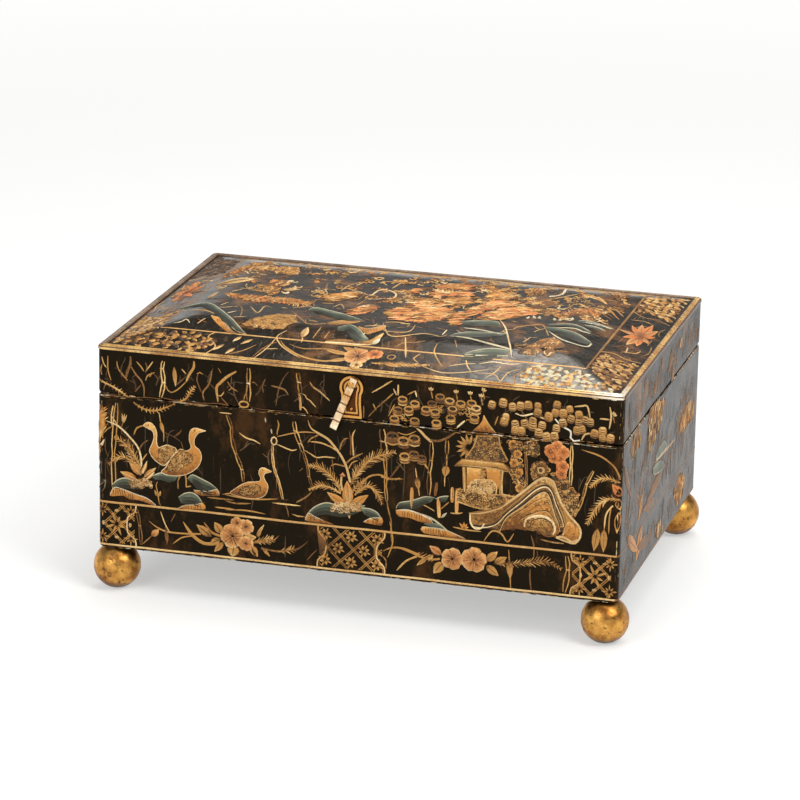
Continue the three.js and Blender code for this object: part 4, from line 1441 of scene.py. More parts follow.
def line_round(sheet, level, width):
    """One line right round the box, with the small waver of a hand. Along the right side it is painted
    darker, a painted shade.
    """
    places, along = [], -half_girth
    while along < half_girth:
        places.append((along, level + 0.12 * math.sin(along * 0.05) + 0.06 * math.sin(along * 0.17)))
        near_corner = abs(abs(abs(along) - side_middle) - straight_y - corner_arc / 2) < corner_arc
        along += 1.2 if near_corner else 5.0
    places.append((half_girth, places[0][1]))
    first = side_middle - straight_y - corner_arc / 2
    last = side_middle + straight_y + corner_arc / 2
    # The right side's stretch goes in the deep paint: painted shade where the line is seen at a glancing
    # angle.
    for low, high, tint in (
        (-half_girth, first, "line"), (first, last, "deep"), (last, half_girth, "line")
    ):
        part = [place for place in places if low - 1.3 <= place[0] <= high + 1.3]
        stroke(sheet, tint, part, width, start=1, end=1, spacing=5.0)


borders = new_sheet("case_border_lines", "case", on_wall)
line_round(borders, line_level, 1.35)
line_round(borders, foot_line_level, 1.25)
lay_sheet(borders)

# %% [markdown]
# The left of the front has two geese on a bank among ferns. The birds are given by their
# outlines, drawn from the photograph and written in millimetres on the box.

# %% Front of the case: geese and ferns
front = new_sheet("front_case_painting", "case", on_wall)

for step in range(46):
    x, z = -166 + 7.3 * step + chance.uniform(-3, 3), chance.uniform(88, 122)
    sway = chance.uniform(-3, 3)
    dim = [(x, z), (x + sway, z - 9), (x + sway * 0.4, z - chance.uniform(14, 30))]
    stroke(front, "dim", dim, chance.uniform(0.6, 1.5), start=0.4, end=0.3, lift=-0.1)
    if step % 3 == 0:
        twig(front, dim[1], chance.uniform(20, 160), chance.uniform(7, 12), "dim", 0.8, 1)
bank(front, [(-161, 71), (-157, 75), (-152, 77), (-146, 76), (-140, 74)], 7)
rock_face(
    front,
    [
        (-162, 64), (-159, 70), (-152, 69), (-145, 67), (-137, 65), (-131, 61), (-134, 61), (-142, 63),
        (-149, 63), (-153, 65),
    ],
    [((-158, 70), (-158, 65)), ((-154, 70), (-153, 65)), ((-148, 67), (-148, 63))],
)
bank(front, [(-134, 80), (-128, 83), (-122, 82), (-116, 82)], 5)
bank(front, [(-110, 81), (-107, 84), (-101, 82), (-94, 79), (-90, 76)], 9)
rock_face(
    front,
    [(-106, 74), (-97, 74), (-90, 76), (-89, 72), (-96, 71), (-103, 71)],
    [((-101, 74), (-101, 71)), ((-97, 74), (-96, 71)), ((-93, 75), (-92, 71))],
)
bank(front, [(-116, 68), (-112, 71), (-107, 72), (-103, 70), (-100, 66)], 8)
rock_face(
    front,
    [(-117, 60), (-112, 63), (-106, 64), (-100, 66), (-98, 62), (-107, 61)],
    [((-109, 64), (-109, 61)), ((-103, 65), (-103, 61))],
)

bird(
    front,
    [
        (-139.6, 113.2), (-137.5, 115.3), (-134.8, 115.6), (-132.1, 113.5), (-130.5, 108.9),
        (-130.7, 103.6), (-129.2, 99.7), (-124.1, 101.9), (-119.9, 101.1), (-117.3, 99.4),
        (-121.1, 93.9), (-125.3, 88.4), (-130.1, 90.0), (-133.6, 93.2), (-135.3, 97.2), (-133.6, 101.5),
        (-132.3, 106.4), (-133.3, 110.4), (-136.0, 111.6),
    ],
    [
        (-128.9, 99.0), (-124.1, 101.3), (-119.9, 100.6), (-117.9, 99.0), (-121.7, 93.8), (-125.3, 89.9),
        (-128.9, 93.1),
    ],
    (-136.0, 114.0),
)
bird(
    front,
    [
        (-97.9, 114.0), (-101.6, 114.6), (-104.8, 115.1), (-107.6, 113.8), (-108.7, 110.6),
        (-108.7, 106.5), (-107.6, 101.8), (-111.0, 99.2), (-114.6, 100.2), (-118.2, 96.9),
        (-121.7, 92.4), (-124.7, 86.7), (-127.4, 84.0), (-124.7, 82.2), (-118.2, 82.2), (-112.2, 83.4),
        (-106.9, 86.2), (-102.7, 90.5), (-100.8, 96.0), (-102.1, 100.6), (-105.2, 103.3),
        (-105.6, 107.4), (-103.4, 111.7), (-100.4, 113.2),
    ],
    [
        (-114.6, 99.8), (-109.9, 98.6), (-106.5, 96.0), (-107.3, 93.0), (-111.6, 89.4), (-117.0, 86.1),
        (-124.1, 84.8), (-122.3, 89.6), (-119.4, 94.1),
    ],
    (-105.3, 113.3),
    legs=[
        [(-114.6, 83.0), (-116.4, 78.9), (-116.2, 73.6)],
        [(-111.5, 83.6), (-110.9, 79.5), (-111.0, 75.4)],
        [(-111.0, 75.4), (-107.7, 76.3)],
    ],
)

spike(front, "pale", [(-141, 86), (-141, 91), (-143, 98), (-148, 104), (-156, 111), (-165, 114)], 1.2)
spike(front, "gold", [(-140, 113), (-144, 111), (-146, 106)], 1.0)
spike(front, "gold", [(-143, 95), (-140, 101), (-136, 104)], 1.1)
spike(front, "gold", [(-141, 89), (-139, 92), (-137, 95)], 0.9)
stroke(front, "gold", [(-154, 106), (-154, 111), (-153, 114)], 0.7)
bud(front, (-153, 113), (-152, 120), 2.4, "pale")
frond(front, "gold", [(-141, 85), (-147, 95), (-152, 100), (-159, 104)], 5.4)
frond(front, "gold", [(-141, 86), (-147, 91), (-150, 99), (-152, 103)], 4.6)
frond(front, "gold", [(-141, 84), (-148, 89), (-155, 91), (-163, 85)], 5.6)
for base, tip, width in (
    ((-141, 80), (-149, 88), 4.4), ((-144, 77), (-155, 81), 4.6), ((-140, 81), (-137, 90), 2.6),
    ((-139, 79), (-131, 86), 3.2), ((-138, 77), (-132, 83), 2.4), ((-141, 81), (-138, 87), 2.2),
):
    leaf(front, "amber", base, tip, width, vein="gold")
    stroke(front, "pale", [base, tip], 0.8, lift=0.25)
skirt = [
    (-149, 75), (-144, 77), (-138, 78), (-134, 76), (-134, 72), (-138, 74), (-141, 71), (-144, 73),
    (-147, 71),
]
curled_patch(front, "deep", skirt, 0.22, (110, "pale", 1.8, 0.4))
stroke(front, "gold", [(-130, 77), (-131, 74), (-130, 70), (-129, 63), (-128, 61)], 0.7)
leaf(front, "gold", (-130, 67), (-132, 71), 1.8)
leaf(front, "gold", (-129, 67), (-128, 71), 1.8)
spindle(front, [(-129, 123), (-128, 117), (-126, 111), (-126, 104)], 2.6)
twig(front, (-125, 110), -20, 12, "deep", 0.7, 1)
stroke(front, "deep", [(-119, 108), (-116, 110), (-114, 113)], 0.7)
frond(
    front, "gold",
    [(-146, 128), (-143, 126), (-138, 124), (-131, 124), (-124, 127), (-118, 130)],
    2.6, step=1.8, lean=60,
)
stroke(front, "deep", [(-165, 103), (-165, 95), (-163, 90)], 0.6)
stroke(front, "deep", [(-165, 89), (-165, 80), (-165, 71)], 0.6)
print("geese and ferns drawn")

# %% [markdown]
# To the right of the geese a third one swims among bare trunks. Its water is a few long
# strokes, broken where the bank and the trunks cross them.

# %% Front of the case: the swimming goose and the trunks
stroke(front, "pale", [(-89, 127), (-85, 127), (-81, 127)], 0.8)
cane(front, [(-84, 126), (-81, 118), (-81, 112), (-78, 101), (-74, 91), (-73, 83)], 2.4)
stroke(front, "gold", [(-76, 115), (-71, 112), (-66, 111), (-62, 109)], 0.9)
bird(
    front,
    [
        (-54.5, 91.7), (-57.5, 92.9), (-60.0, 93.6), (-62.1, 92.5), (-62.7, 89.6), (-61.6, 87.1),
        (-61.9, 84.6), (-65.7, 83.6), (-69.8, 83.0), (-73.9, 81.0), (-77.7, 78.2), (-81.5, 74.6),
        (-77.4, 73.4), (-70.3, 72.5), (-64.4, 72.8), (-59.7, 74.8), (-57.4, 78.0), (-56.8, 82.3),
        (-58.5, 85.0), (-59.7, 87.9), (-59.1, 89.8),
    ],
    [
        (-71.0, 80.7), (-65.1, 82.4), (-61.5, 80.6), (-62.7, 76.9), (-68.6, 74.3), (-76.3, 74.8),
        (-74.2, 78.6),
    ],
    (-60.2, 92.1),
)
for line in (
    [(-97, 70), (-88, 70), (-79, 70)], [(-92, 64), (-86, 64), (-79, 64)], [(-87, 73), (-79, 75)],
    [(-85, 73), (-67, 72), (-50, 74)], [(-85, 69), (-78, 68), (-68, 69)],
    [(-54, 71), (-44, 71), (-35, 71)], [(-85, 63), (-71, 64), (-58, 63)],
    [(-41, 65), (-37, 64), (-32, 64)], [(-47, 74), (-43, 74)],
):
    stroke(front, "gold", line, 1.0, start=0.15, end=0.15, spacing=4.0)
ring(front, "pale", (-53, 112), 1.9, 0.9, 1.35)
cane(front, [(-54, 109), (-54, 103), (-53, 95), (-51, 89), (-49, 83), (-47, 74)], 1.7)
stroke(front, "deep", [(-46, 72), (-44, 68), (-43, 63)], 0.7)
stroke(front, "gold", [(-51, 116), (-51, 118), (-50, 123), (-51, 126)], 0.9)
stroke(front, "gold", [(-51, 115), (-42, 118), (-33, 120), (-26, 120)], 0.8)
stroke(front, "gold", [(-51, 110), (-45, 108), (-41, 107), (-38, 108)], 0.8)
cane(front, [(-40, 126), (-39, 120), (-36, 112), (-34, 107)], 3.4)
cane(front, [(-34, 107), (-31, 98), (-30, 91), (-28, 85)], 2.0)
stroke(front, "gold", [(-33, 108), (-29, 106), (-25, 104), (-20, 105), (-13, 105)], 0.8)
stroke(front, "deep", [(-25, 103), (-25, 100)], 0.7)
stroke(front, "deep", [(-15, 104), (-14, 97)], 0.7)
stroke(front, "gold", [(-36, 94), (-34, 96)], 0.6)
stroke(front, "pale", [(-38, 73), (-32, 77), (-28, 81)], 1.0)
for spot in ((-59, 127), (-55, 120)):
    leaf(front, "cream", spot, (spot[0] + 0.5, spot[1] - 3.4), 1.0, vein=None)
print("swimming goose and trunks drawn")

# %% [markdown]
# In the middle a palm stands on its own bank. Its fronds are the finest brushwork on the
# front, so the leaflets are short and close together.

# %% Front of the case: the palm
bank(front, [(-32, 62), (-30, 67), (-25, 72), (-18, 75), (-9, 74), (1, 75), (7, 76)], 8)
bank(front, [(4, 74), (10, 74), (15, 72), (18, 68)], 6)
rock_face(
    front,
    [(-32, 62), (-30, 67), (-26, 65), (-20, 63), (-13, 61), (-23, 61)],
    [((-27, 65), (-27, 62)), ((-23, 64), (-23, 62)), ((-19, 63), (-19, 61))],
)
rock_face(
    front, [(6, 65), (11, 68), (18, 69), (18, 64), (12, 64)], [((10, 67), (10, 64)), ((14, 68), (14, 64))]
)
for line, width in (
    (
        [
            (-3, 90), (-5, 98), (-7, 103), (-10, 108), (-14, 113), (-18, 117), (-24, 120), (-29, 123),
            (-31, 128),
        ],
        1.5,
    ),
    ([(-24, 119), (-29, 116), (-31, 113)], 0.9),
    ([(-12, 110), (-16, 112), (-23, 114), (-30, 114)], 1.0),
    ([(-10, 111), (-9, 115), (-7, 118), (-4, 119)], 1.0),
    ([(-6, 102), (-2, 106), (5, 110)], 1.0), ([(-6, 100), (-13, 101), (-16, 99)], 0.9),
    ([(-4, 99), (-2, 103), (2, 105)], 0.8), ([(-1, 108), (-2, 120), (0, 125)], 1.0),
    ([(-3, 108), (-3, 116), (-4, 124)], 0.8), ([(-8, 84), (-9, 90), (-8, 96)], 1.3),
):
    spike(front, "pale" if width > 1.2 else "gold", line, width)
patch(front, "blossom", [(-10, 94), (-8, 96), (-6, 94), (-8, 93)], rise=0.3)
frond(front, "gold", [(-9, 83), (-12, 89), (-18, 95), (-24, 98), (-30, 98)], 5.6, step=1.3)
frond(front, "gold", [(-9, 82), (-15, 85), (-22, 86), (-27, 84), (-30, 82)], 4.6, step=1.2)
frond(front, "gold", [(-3, 88), (-1, 92), (2, 99), (6, 105)], 5.0, step=1.3)
frond(front, "gold", [(0, 94), (6, 102), (11, 107), (17, 110), (26, 113)], 6.0, step=1.3)
frond(front, "gold", [(0, 82), (5, 87), (9, 89), (14, 86), (18, 78)], 5.0, step=1.2)
frond(front, "gold", [(-3, 82), (2, 89), (7, 93)], 3.6, step=1.4)
spike(front, "gold", [(1, 83), (4, 89), (9, 95), (16, 97), (23, 95), (32, 96)], 1.2)
frond(front, "gold", [(17, 96), (23, 95), (30, 96)], 1.8, step=1.8)
leaf(front, "amber", (-4, 74), (-5, 91), 7.2)
for shift in (-1.6, -0.6, 0.7, 1.7):
    foot = Vector((-4, 75))
    stroke(
        front, "pale", [foot, foot + Vector((shift, 6)), foot + Vector((shift * 0.8, 12))], 0.5, lift=0.3
    )
leaf(front, "amber", (-5, 74), (-18, 82), 5.2, vein="pale")
leaf(front, "amber", (-3, 74), (9, 83), 5.2, vein="pale")
skirt = [
    (-15, 74), (-9, 76), (-2, 77), (5, 77), (3, 71), (-1, 72), (-3, 69), (-6, 71), (-9, 69), (-12, 71),
    (-15, 69),
]
curled_patch(front, "deep", skirt, 0.22, (120, "pale", 1.8, 0.4))
leaf(front, "pale", (-4, 71), (-3, 66), 2.0)
print("palm drawn")

# %% [markdown]
# Right of the palm come canes, pods, an island with posts, and the pavilion: a hatched tier, a
# sagging eave, orange walls between posts, and an arch filled with latticework.

# %% Front of the case: canes, pods and the island
cane(front, [(17, 127), (18, 119), (19, 111)], 5.2, width=0.9)
cane(front, [(19, 111), (20, 99), (20, 90), (21, 80)], 2.0)
stroke(front, "gold", [(21, 80), (22, 75), (24, 67), (24, 60), (25, 52)], 0.9)
for spot, size in (
    ((24, 122), 9.0), ((31, 120), 8.0), ((38, 122), 8.0), ((32, 110), 7.4), ((38, 112), 7.0),
    ((43, 110), 6.6),
):
    pod(front, spot, size)
stroke(front, "gold", [(30, 106), (27, 102), (23, 96)], 1.1)
stroke(front, "gold", [(43, 109), (45, 107), (47, 104)], 1.2)
spindle(front, [(39, 104), (40, 98), (41, 92), (42, 86)], 3.6)
spike(front, "pale", [(49, 122), (45, 125), (42, 128), (39, 130)], 1.6)
spike(front, "gold", [(48, 123), (53, 123), (58, 125), (62, 128), (65, 130)], 1.5)
stroke(front, "gold", [(27, 126), (33, 125), (39, 128)], 0.7)
cane(front, [(49, 122), (49, 110), (48, 102), (48, 87)], 2.6)
cane(front, [(59, 124), (59, 115)], 3.0)
spindle(front, [(59, 115), (59, 108), (58, 100), (58, 94)], 5.0)
bank(front, [(27, 76), (29, 80), (36, 82), (41, 84), (46, 86), (52, 86)], 6)
bank(front, [(52, 85), (56, 87), (61, 88)], 4)
rock_face(
    front,
    [(27, 75), (35, 76), (43, 74), (50, 71), (51, 69), (43, 69), (35, 71), (29, 71)],
    [((33, 75), (33, 71)), ((37, 75), (38, 71)), ((42, 74), (42, 70)), ((47, 72), (47, 70))],
)
spike(front, "cream", [(60, 65), (55, 69), (50, 72), (43, 74), (35, 76)], 1.3)
patch(front, "teal", [(45, 68), (54, 69), (60, 65), (58, 65), (53, 66)])
rock_face(
    front,
    [(44, 66), (53, 66), (61, 65), (72, 61), (58, 61), (45, 62)],
    [((48, 66), (48, 62)), ((53, 66), (53, 62)), ((57, 65), (58, 61))],
)
stroke(front, "gold", [(43, 81), (48, 79), (52, 77)], 0.7)
stroke(front, "gold", [(56, 79), (61, 84)], 0.8)
for top, foot, width in (
    ((37, 91), (37, 77), 2.4), ((53, 96), (52, 87), 2.0), ((54, 86), (55, 73), 2.3),
    ((63, 94), (63, 84), 2.4), ((66, 93), (66, 77), 2.4),
):
    stroke(front, "amber", [top, foot], width, start=0.5, end=0.6)
    stroke(front, "pale", [(top[0] - 0.4, top[1] - 0.5), (foot[0] - 0.4, foot[1] + 2)], 0.6, lift=0.3)
stroke(front, "gold", [(65, 93), (69, 93)], 1.0)
stroke(front, "gold", [(62, 77), (66, 77), (70, 78)], 0.9)
leaf(front, "cream", (56, 73), (60, 77), 1.6)
for tip in ((68, 71), (71, 72), (73, 71), (74, 69), (69, 69)):
    leaf(front, "amber", (71, 68), tip, 1.6, vein=None)
stroke(front, "gold", [(64, 68), (73, 67), (82, 67)], 1.0)
daisy(front, "gold", (73, 121), 8.6, 78, 282, 9)
print("canes, pods and island drawn")

# %% Front of the case: the pavilion
tier = [(78, 129), (92, 130), (93, 124), (98, 115), (84, 114), (71, 114), (76, 122)]
tier_curls = ((70, "gold", 2.6, 0.5, 0.16), (50, "ink", 2.2, 0.5, 0.2))
curled_patch(front, "deep", tier, 0.12, *tier_curls, smooth=False)
for edge in (
    tier[:2], [tier[6], tier[2]], [tier[5], tier[4], tier[3]], [tier[0], tier[6], tier[5]], tier[1:4]
):
    stroke(front, "gold", edge, 0.8, 1, 1, lift=0.24)
eave = [(64, 108), (69, 113), (74, 113), (95, 113), (100, 108), (96, 108), (91, 110), (71, 109)]
patch(front, "gold", eave, rise=0.3, smooth=False)
for edge in (eave[:5], [(64, 108), (71, 109), (91, 109), (96, 108), (100, 108)]):
    stroke(front, "pale", edge, 0.8, lift=0.3, spacing=4)
for step in range(34):
    top = Vector((70, 112)) + Vector((1.02 * step, 0.03 * step))
    stroke(front, "deep", [top, top + Vector((0.5, -3.2))], 0.4, lift=0.32)
patch(
    front, "amber",
    [(72, 108), (81, 108), (80, 101), (76, 99), (73, 94), (72, 95)],
    rise=0.12, smooth=False,
)
patch(
    front, "amber",
    [(84, 109), (93, 109), (93, 96), (91, 96), (88, 100), (85, 102)],
    rise=0.12, smooth=False,
)
door = [(80, 108), (84, 109), (84, 102), (80, 101)]
curled_patch(front, "deep", door, 0.12, (120, "gold", 1.4, 0.4, 0.2), smooth=False)
for top, foot, width in (((70, 108), (71, 92), 2.0), ((94, 108), (94, 92), 2.2)):
    stroke(front, "gold", [top, foot], width, 1, 1, lift=0.1)
    stroke(front, "pale", [top, foot], 0.5, 1, 1, lift=0.42)
arch = [(73, 93), (74, 97), (77, 100), (82, 101), (88, 101), (91, 98), (91, 92), (82, 92)]
patch(front, "ink", arch, rise=0.16)
stroke(front, "gold", arch[:-1], 0.9, 1, 1, lift=0.2)
scribble(front, arch, 90, "pale", 1.9, 0.5, 0.25)
scribble(front, arch, 60, "gold", 2.0, 0.5, 0.25)
base = [(66, 93), (73, 93), (83, 92), (95, 92), (108, 93), (105, 88), (98, 84), (81, 82), (67, 85)]
base_curls = ((70, "gold", 2.4, 0.5, 0.2), (30, "ink", 2.2, 0.5, 0.24))
curled_patch(front, "deep", base, 0.14, *base_curls, smooth=False)
for edge in ([(66, 93), (73, 93), (95, 92), (108, 93)], [(67, 85), (81, 82), (98, 84), (105, 88)]):
    stroke(front, "gold", edge, 0.8, 1, 1, lift=0.2)
stroke(front, "pale", [(95, 108), (95, 93), (107, 93)], 0.9, 1, 0.6, lift=0.2, spacing=8)
print("pavilion drawn")

# %% [markdown]
# The rock at the right is drawn as bands that follow one another like ripples, each with a
# pale upper edge, a body of fine scribble and a dark line below. Flowering trees and a clump
# of foliage stand behind it.

# %% Front of the case: banded rock and trees
for outline in (
    [
        (98, 127), (107, 128), (106, 123), (103, 118), (107, 115), (106, 108), (110, 102), (109, 95),
        (104, 99), (100, 107), (101, 117),
    ],
    [(108, 128), (116, 129), (118, 124), (116, 119), (109, 121)],
    [(126, 110), (134, 109), (138, 102), (143, 98), (143, 87), (140, 82), (133, 89), (130, 100)],
    [(113, 114), (120, 117), (124, 112), (122, 105), (115, 103)],
):
    curled_patch(front, "deep", outline, 0.08, (60, "gold", 2.8, 0.6, 0.12), (36, "ink", 2.4, 0.5, 0.2))
for spot in ((101, 126), (104, 120), (102, 114), (105, 108), (106, 98)):
    blossom(front, spot, 2.8, "amber", turn=chance.uniform(0, 70))
ring(front, "deep", (119, 111), 3.4, 0.8, lift=0.36)
ring(front, "pale", (119, 111), 1.8, 0.8, lift=0.36)
patch(
    front, "orange",
    [
        (122, 127), (128, 129), (134, 128), (135, 123), (132, 119), (136, 115), (133, 107), (129, 110),
        (128, 117), (122, 121),
    ],
    rise=0.1,
)
for spot, radius in (
    ((125, 124), 4.2), ((129, 127), 4.0), ((133, 124), 3.8), ((127, 120), 3.6), ((131, 120), 3.4),
    ((133, 115), 3.6), ((132, 110), 3.4),
):
    blossom(front, spot, radius, "orange", turn=chance.uniform(0, 70))
cane(front, [(109, 121), (110, 108), (110, 98)], 1.4, "deep")
cane(front, [(138, 129), (138, 116), (138, 103)], 1.8)
stroke(front, "deep", [(118, 119), (123, 116), (126, 119)], 0.8)
outer = [
    (74.3, 78.3), (82.8, 79.4), (93.3, 83.8), (101.6, 90.2), (109.8, 97.5), (117.0, 104.1),
    (122.2, 106.4), (127.0, 104.6), (128.9, 100.1), (132.3, 91.9), (137.8, 83.9), (144.3, 77.0),
    (145.3, 71.2), (142.1, 66.0), (136.0, 66.7), (129.8, 68.6),
]
second = [
    (76.8, 70.9), (83.0, 70.8), (91.4, 73.7), (97.8, 81.1), (106.9, 89.7), (116.1, 98.8), (122.3, 101.7),
    (126.2, 99.1), (129.6, 90.5), (133.0, 82.8), (134.9, 76.5), (134.2, 71.6),
]
third = [
    (93.9, 69.2), (97.9, 78.4), (108.2, 87.4), (117.3, 95.8), (122.4, 98.0), (125.5, 94.4),
    (128.7, 84.5), (131.2, 78.8), (132.4, 73.5),
]
arch = [
    (109.7, 73.2), (110.4, 77.9), (116.1, 80.9), (122.9, 81.2), (127.9, 77.7), (129.1, 73.2),
    (128.0, 70.3),
]
patch(front, "gold", outer + [second[-1]] + second[-2::-1], rise=0.12)
patch(front, "deep", second + third[::-1], rise=0.14)
patch(
    front, "amber",
    third + [(129.6, 69.4), (123.3, 68.2), (116.9, 72.3), (110.6, 71.1), (102.1, 71.2)],
    rise=0.10,
)
patch(front, "gold", arch + [(124.4, 68.3), (119.5, 72.1), (115.8, 71.1), (112.1, 71.3)], rise=0.30)
patch(
    front, "amber",
    [
        (130.7, 69.5), (133.8, 71.0), (135.3, 76.5), (138.7, 80.2), (143.6, 75.3), (144.3, 71.1),
        (141.3, 66.9), (136.0, 67.4),
    ],
    rise=0.22,
)
scribble(front, outer + second[::-1], 16, "deep", 1.7, 0.4, 0.3)
scribble(front, third + [(130, 69), (117, 72), (102, 71)], 22, "deep", 1.9, 0.4, 0.3)
scribble(front, second + third[::-1], 20, "gold", 1.7, 0.4, 0.34)
scribble(front, arch + [(124, 68), (116, 71)], 60, "deep", 1.6, 0.4, 0.44)
for edge, paint, width in (
    (outer, "pale", 1.5), (second, "ink", 1.0),
    ([(x, y - 1.1) for x, y in second], "pale", 0.8),
    (third, "ink", 1.0),
    ([(x, y - 1.1) for x, y in third], "pale", 0.8),
    (arch, "pale", 1.6),
    (
        [point * 0.7 + Vector(arch[3]) * 0.3 + Vector((0, -1.5)) for point in map(Vector, arch)],
        "ink", 0.6,
    ),
    ([(129.8, 68.9), (134.9, 69.1), (140.2, 66.8), (143.8, 68.8)], "pale", 1.4),
    ([(74.9, 78.0), (75.3, 72.1), (78.3, 68.6), (82.5, 69.6), (84.0, 72.8)], "pale", 1.2),
    ([(78.1, 75.1), (80.8, 73.8), (82.9, 75.1)], "ink", 0.6),
    ([(74.3, 78.3), (91.2, 83.1), (101.6, 90.0)], "pale", 1.3),
):
    stroke(front, paint, edge, width, start=0.6, end=0.6, lift=0.42)
for first, other in ((outer, second), (second, third), (third, arch)):
    for share in (0.25, 0.5, 0.75):
        rib = between(first, other, share)
        stroke(front, "deep", rib[2:-2], 0.45, lift=0.38)
        stroke(front, "gold", [point + Vector((0, -0.6)) for point in rib[2:-2]], 0.4, lift=0.36)
print("rock and trees drawn")

# %% Front of the case: reeds at the right
cane(front, [(152, 114), (148, 105), (146, 96), (143, 87)], 1.8)
spike(front, "gold", [(169, 110), (167, 115), (164, 119), (156, 124), (144, 127)], 1.1)
frond(front, "gold", [(169, 108), (162, 110), (156, 109), (150, 103)], 4.2, step=1.5)
frond(front, "gold", [(169, 97), (162, 97), (155, 91), (149, 79)], 5.4, step=1.6)
leaf(front, "orange", (171, 99), (164, 107), 5.6)
leaf(front, "amber", (168, 97), (170, 90), 5.0)
leaf(front, "gold", (156, 77), (154, 62), 5.0)
leaf(front, "gold", (160, 77), (160, 62), 4.4)
leaf(front, "amber", (169, 89), (168, 75), 4.6)
spike(front, "gold", [(165, 93), (161, 87), (160, 77)], 1.0)
spike(front, "gold", [(164, 92), (163, 84), (163, 74)], 0.8)
stroke(front, "gold", [(84, 61), (89, 68), (95, 67), (99, 62), (103, 68)], 1.0)
stroke(front, "pale", [(120, 66), (128, 65), (135, 65)], 1.0, start=0.2, end=0.2)
print("reeds drawn")

# %% [markdown]
# Below the line runs a band: a star panel at each corner, a lattice panel in the middle and a
# spray of blossom between them. The panels end in a bracket-shaped line. The same panels are
# used on the other walls, so each is a motif with its place as a value.

# %% Panels of the band
def lattice_lines(sheet, low_x, high_x, low_z, high_z, step):
    """Double diagonals in both directions, clipped to a rectangle."""
    height = high_z - low_z
    start = low_x - height
    while start < high_x:
        for shift in (0, 1.5):
            for rising in (True, False):
                x0, x1 = start + shift, start + shift + height
                z0, z1 = (low_z, high_z) if rising else (high_z, low_z)
                slope = (z1 - z0) / (x1 - x0)
                left, right_end = max(x0, low_x), min(x1, high_x)
                if right_end - left > 1:
                    ends = [(left, z0 + slope * (left - x0)), (right_end, z0 + slope * (right_end - x0))]
                    stroke(sheet, "gold", ends, 0.5, start=1, end=1, spacing=8, load=1)
        start += step


def star_panel(sheet, low_x, high_x, low_z, high_z, bracket):
    """A corner panel of stars on double diagonals. bracket is -1 or 1 for the curved end."""
    lattice_lines(sheet, low_x + 1, high_x - 1, low_z + 0.6, high_z - 0.6, 12.0)
    centre = Vector(((low_x + high_x) / 2 - bracket * 2, (low_z + high_z) / 2))
    star(sheet, centre, 8.0, 22)
    for x, z in ((-9.5, 9), (-9.5, -9), (9.5, 9), (9.5, -9)):
        star(sheet, centre + Vector((x, z)), 5.0)
    for turn in (0, 90, 180, 270):
        clover(sheet, centre + heading(turn) * 10, 2.2, turn + 180)
    end = high_x if bracket > 0 else low_x
    sink = -bracket * 5.6
    outline = [(end, high_z), (end - bracket * 0.8, high_z - 4.5), (end + sink, centre.y + 5)]
    outline += [(end + sink, centre.y - 5), (end - bracket * 0.8, low_z + 4.5), (end, low_z)]
    stroke(sheet, "line", outline, 1.0, start=1, end=1)


def lattice_panel(sheet, low_x, high_x, low_z, high_z):
    """The panel in the middle: one big lattice with clovers, and a bracket at each end."""
    middle_x, middle_z = (low_x + high_x) / 2, (low_z + high_z) / 2
    step = 17.0
    lattice_lines(sheet, low_x + 1.5, high_x - 1.5, low_z + 0.6, high_z - 0.6, step)
    for row, column in itertools.product(range(-1, 2), range(-2, 3)):
        spot = Vector((middle_x + column * step / 2, middle_z + row * step / 2))
        if (row + column) % 2 and abs(spot.x - middle_x) < (high_x - low_x) / 2 - 3:
            for turn in (20, 110, 200, 290):
                petal(sheet, "gold", spot, turn, 0.6, 3.6, 2.0)
                petal(sheet, "gold", spot, turn + 45, 1.2, 4.8, 1.1)
    for side in (-1, 1):
        end = middle_x + side * (high_x - low_x) / 2
        outline = [
            (end, high_z), (end, high_z - 3.4), (end - side * 4.6, middle_z + 4),
            (end - side * 4.6, middle_z - 4),
        ]
        outline += [(end, low_z + 4.4), (end + side * 0.4, low_z)]
        stroke(sheet, "line", outline, 1.0, start=1, end=1)
        stroke(sheet, "deep", [(x - side * 1.3, z) for x, z in outline], 0.5, start=1, end=1)


def spray(sheet, centre, span, facing):
    """A spray of three flowers, with leaves and trailing stems to both sides."""
    def at(x, z):
        return (centre[0] + facing * x, centre[1] + z)

    spike(sheet, "gold", [at(0, 0), at(-14, -1), at(-30, 1), at(-span, 8)], 1.1)
    frond(
        sheet, "gold",
        [at(8, -1), at(24, 0), at(span * 0.8, -2), at(span, 1)],
        5.4, step=1.8, lean=32, width=0.7,
    )
    spike(sheet, "gold", [at(-10, -1), at(-22, -3), at(-34, -9)], 0.9)
    for base, tip, width in (
        (at(-6, 2), at(-17, 8), 4.2), (at(-8, -2), at(-20, -1), 4.0), (at(-2, -5), at(-7, -12), 5.0),
        (at(10, 3), at(18, 9), 4.2), (at(12, 0), at(25, 4), 4.6), (at(9, -4), at(18, -10), 4.4),
    ):
        leaf(sheet, "gold", base, tip, width)
    blossom(sheet, at(-1, 0), 8.4, "orange", 10)
    blossom(sheet, at(8.5, -2), 7.4, "orange", 50)
    blossom(sheet, at(3, 7.5), 4.6, "orange", 30)


print("panels of the band defined")

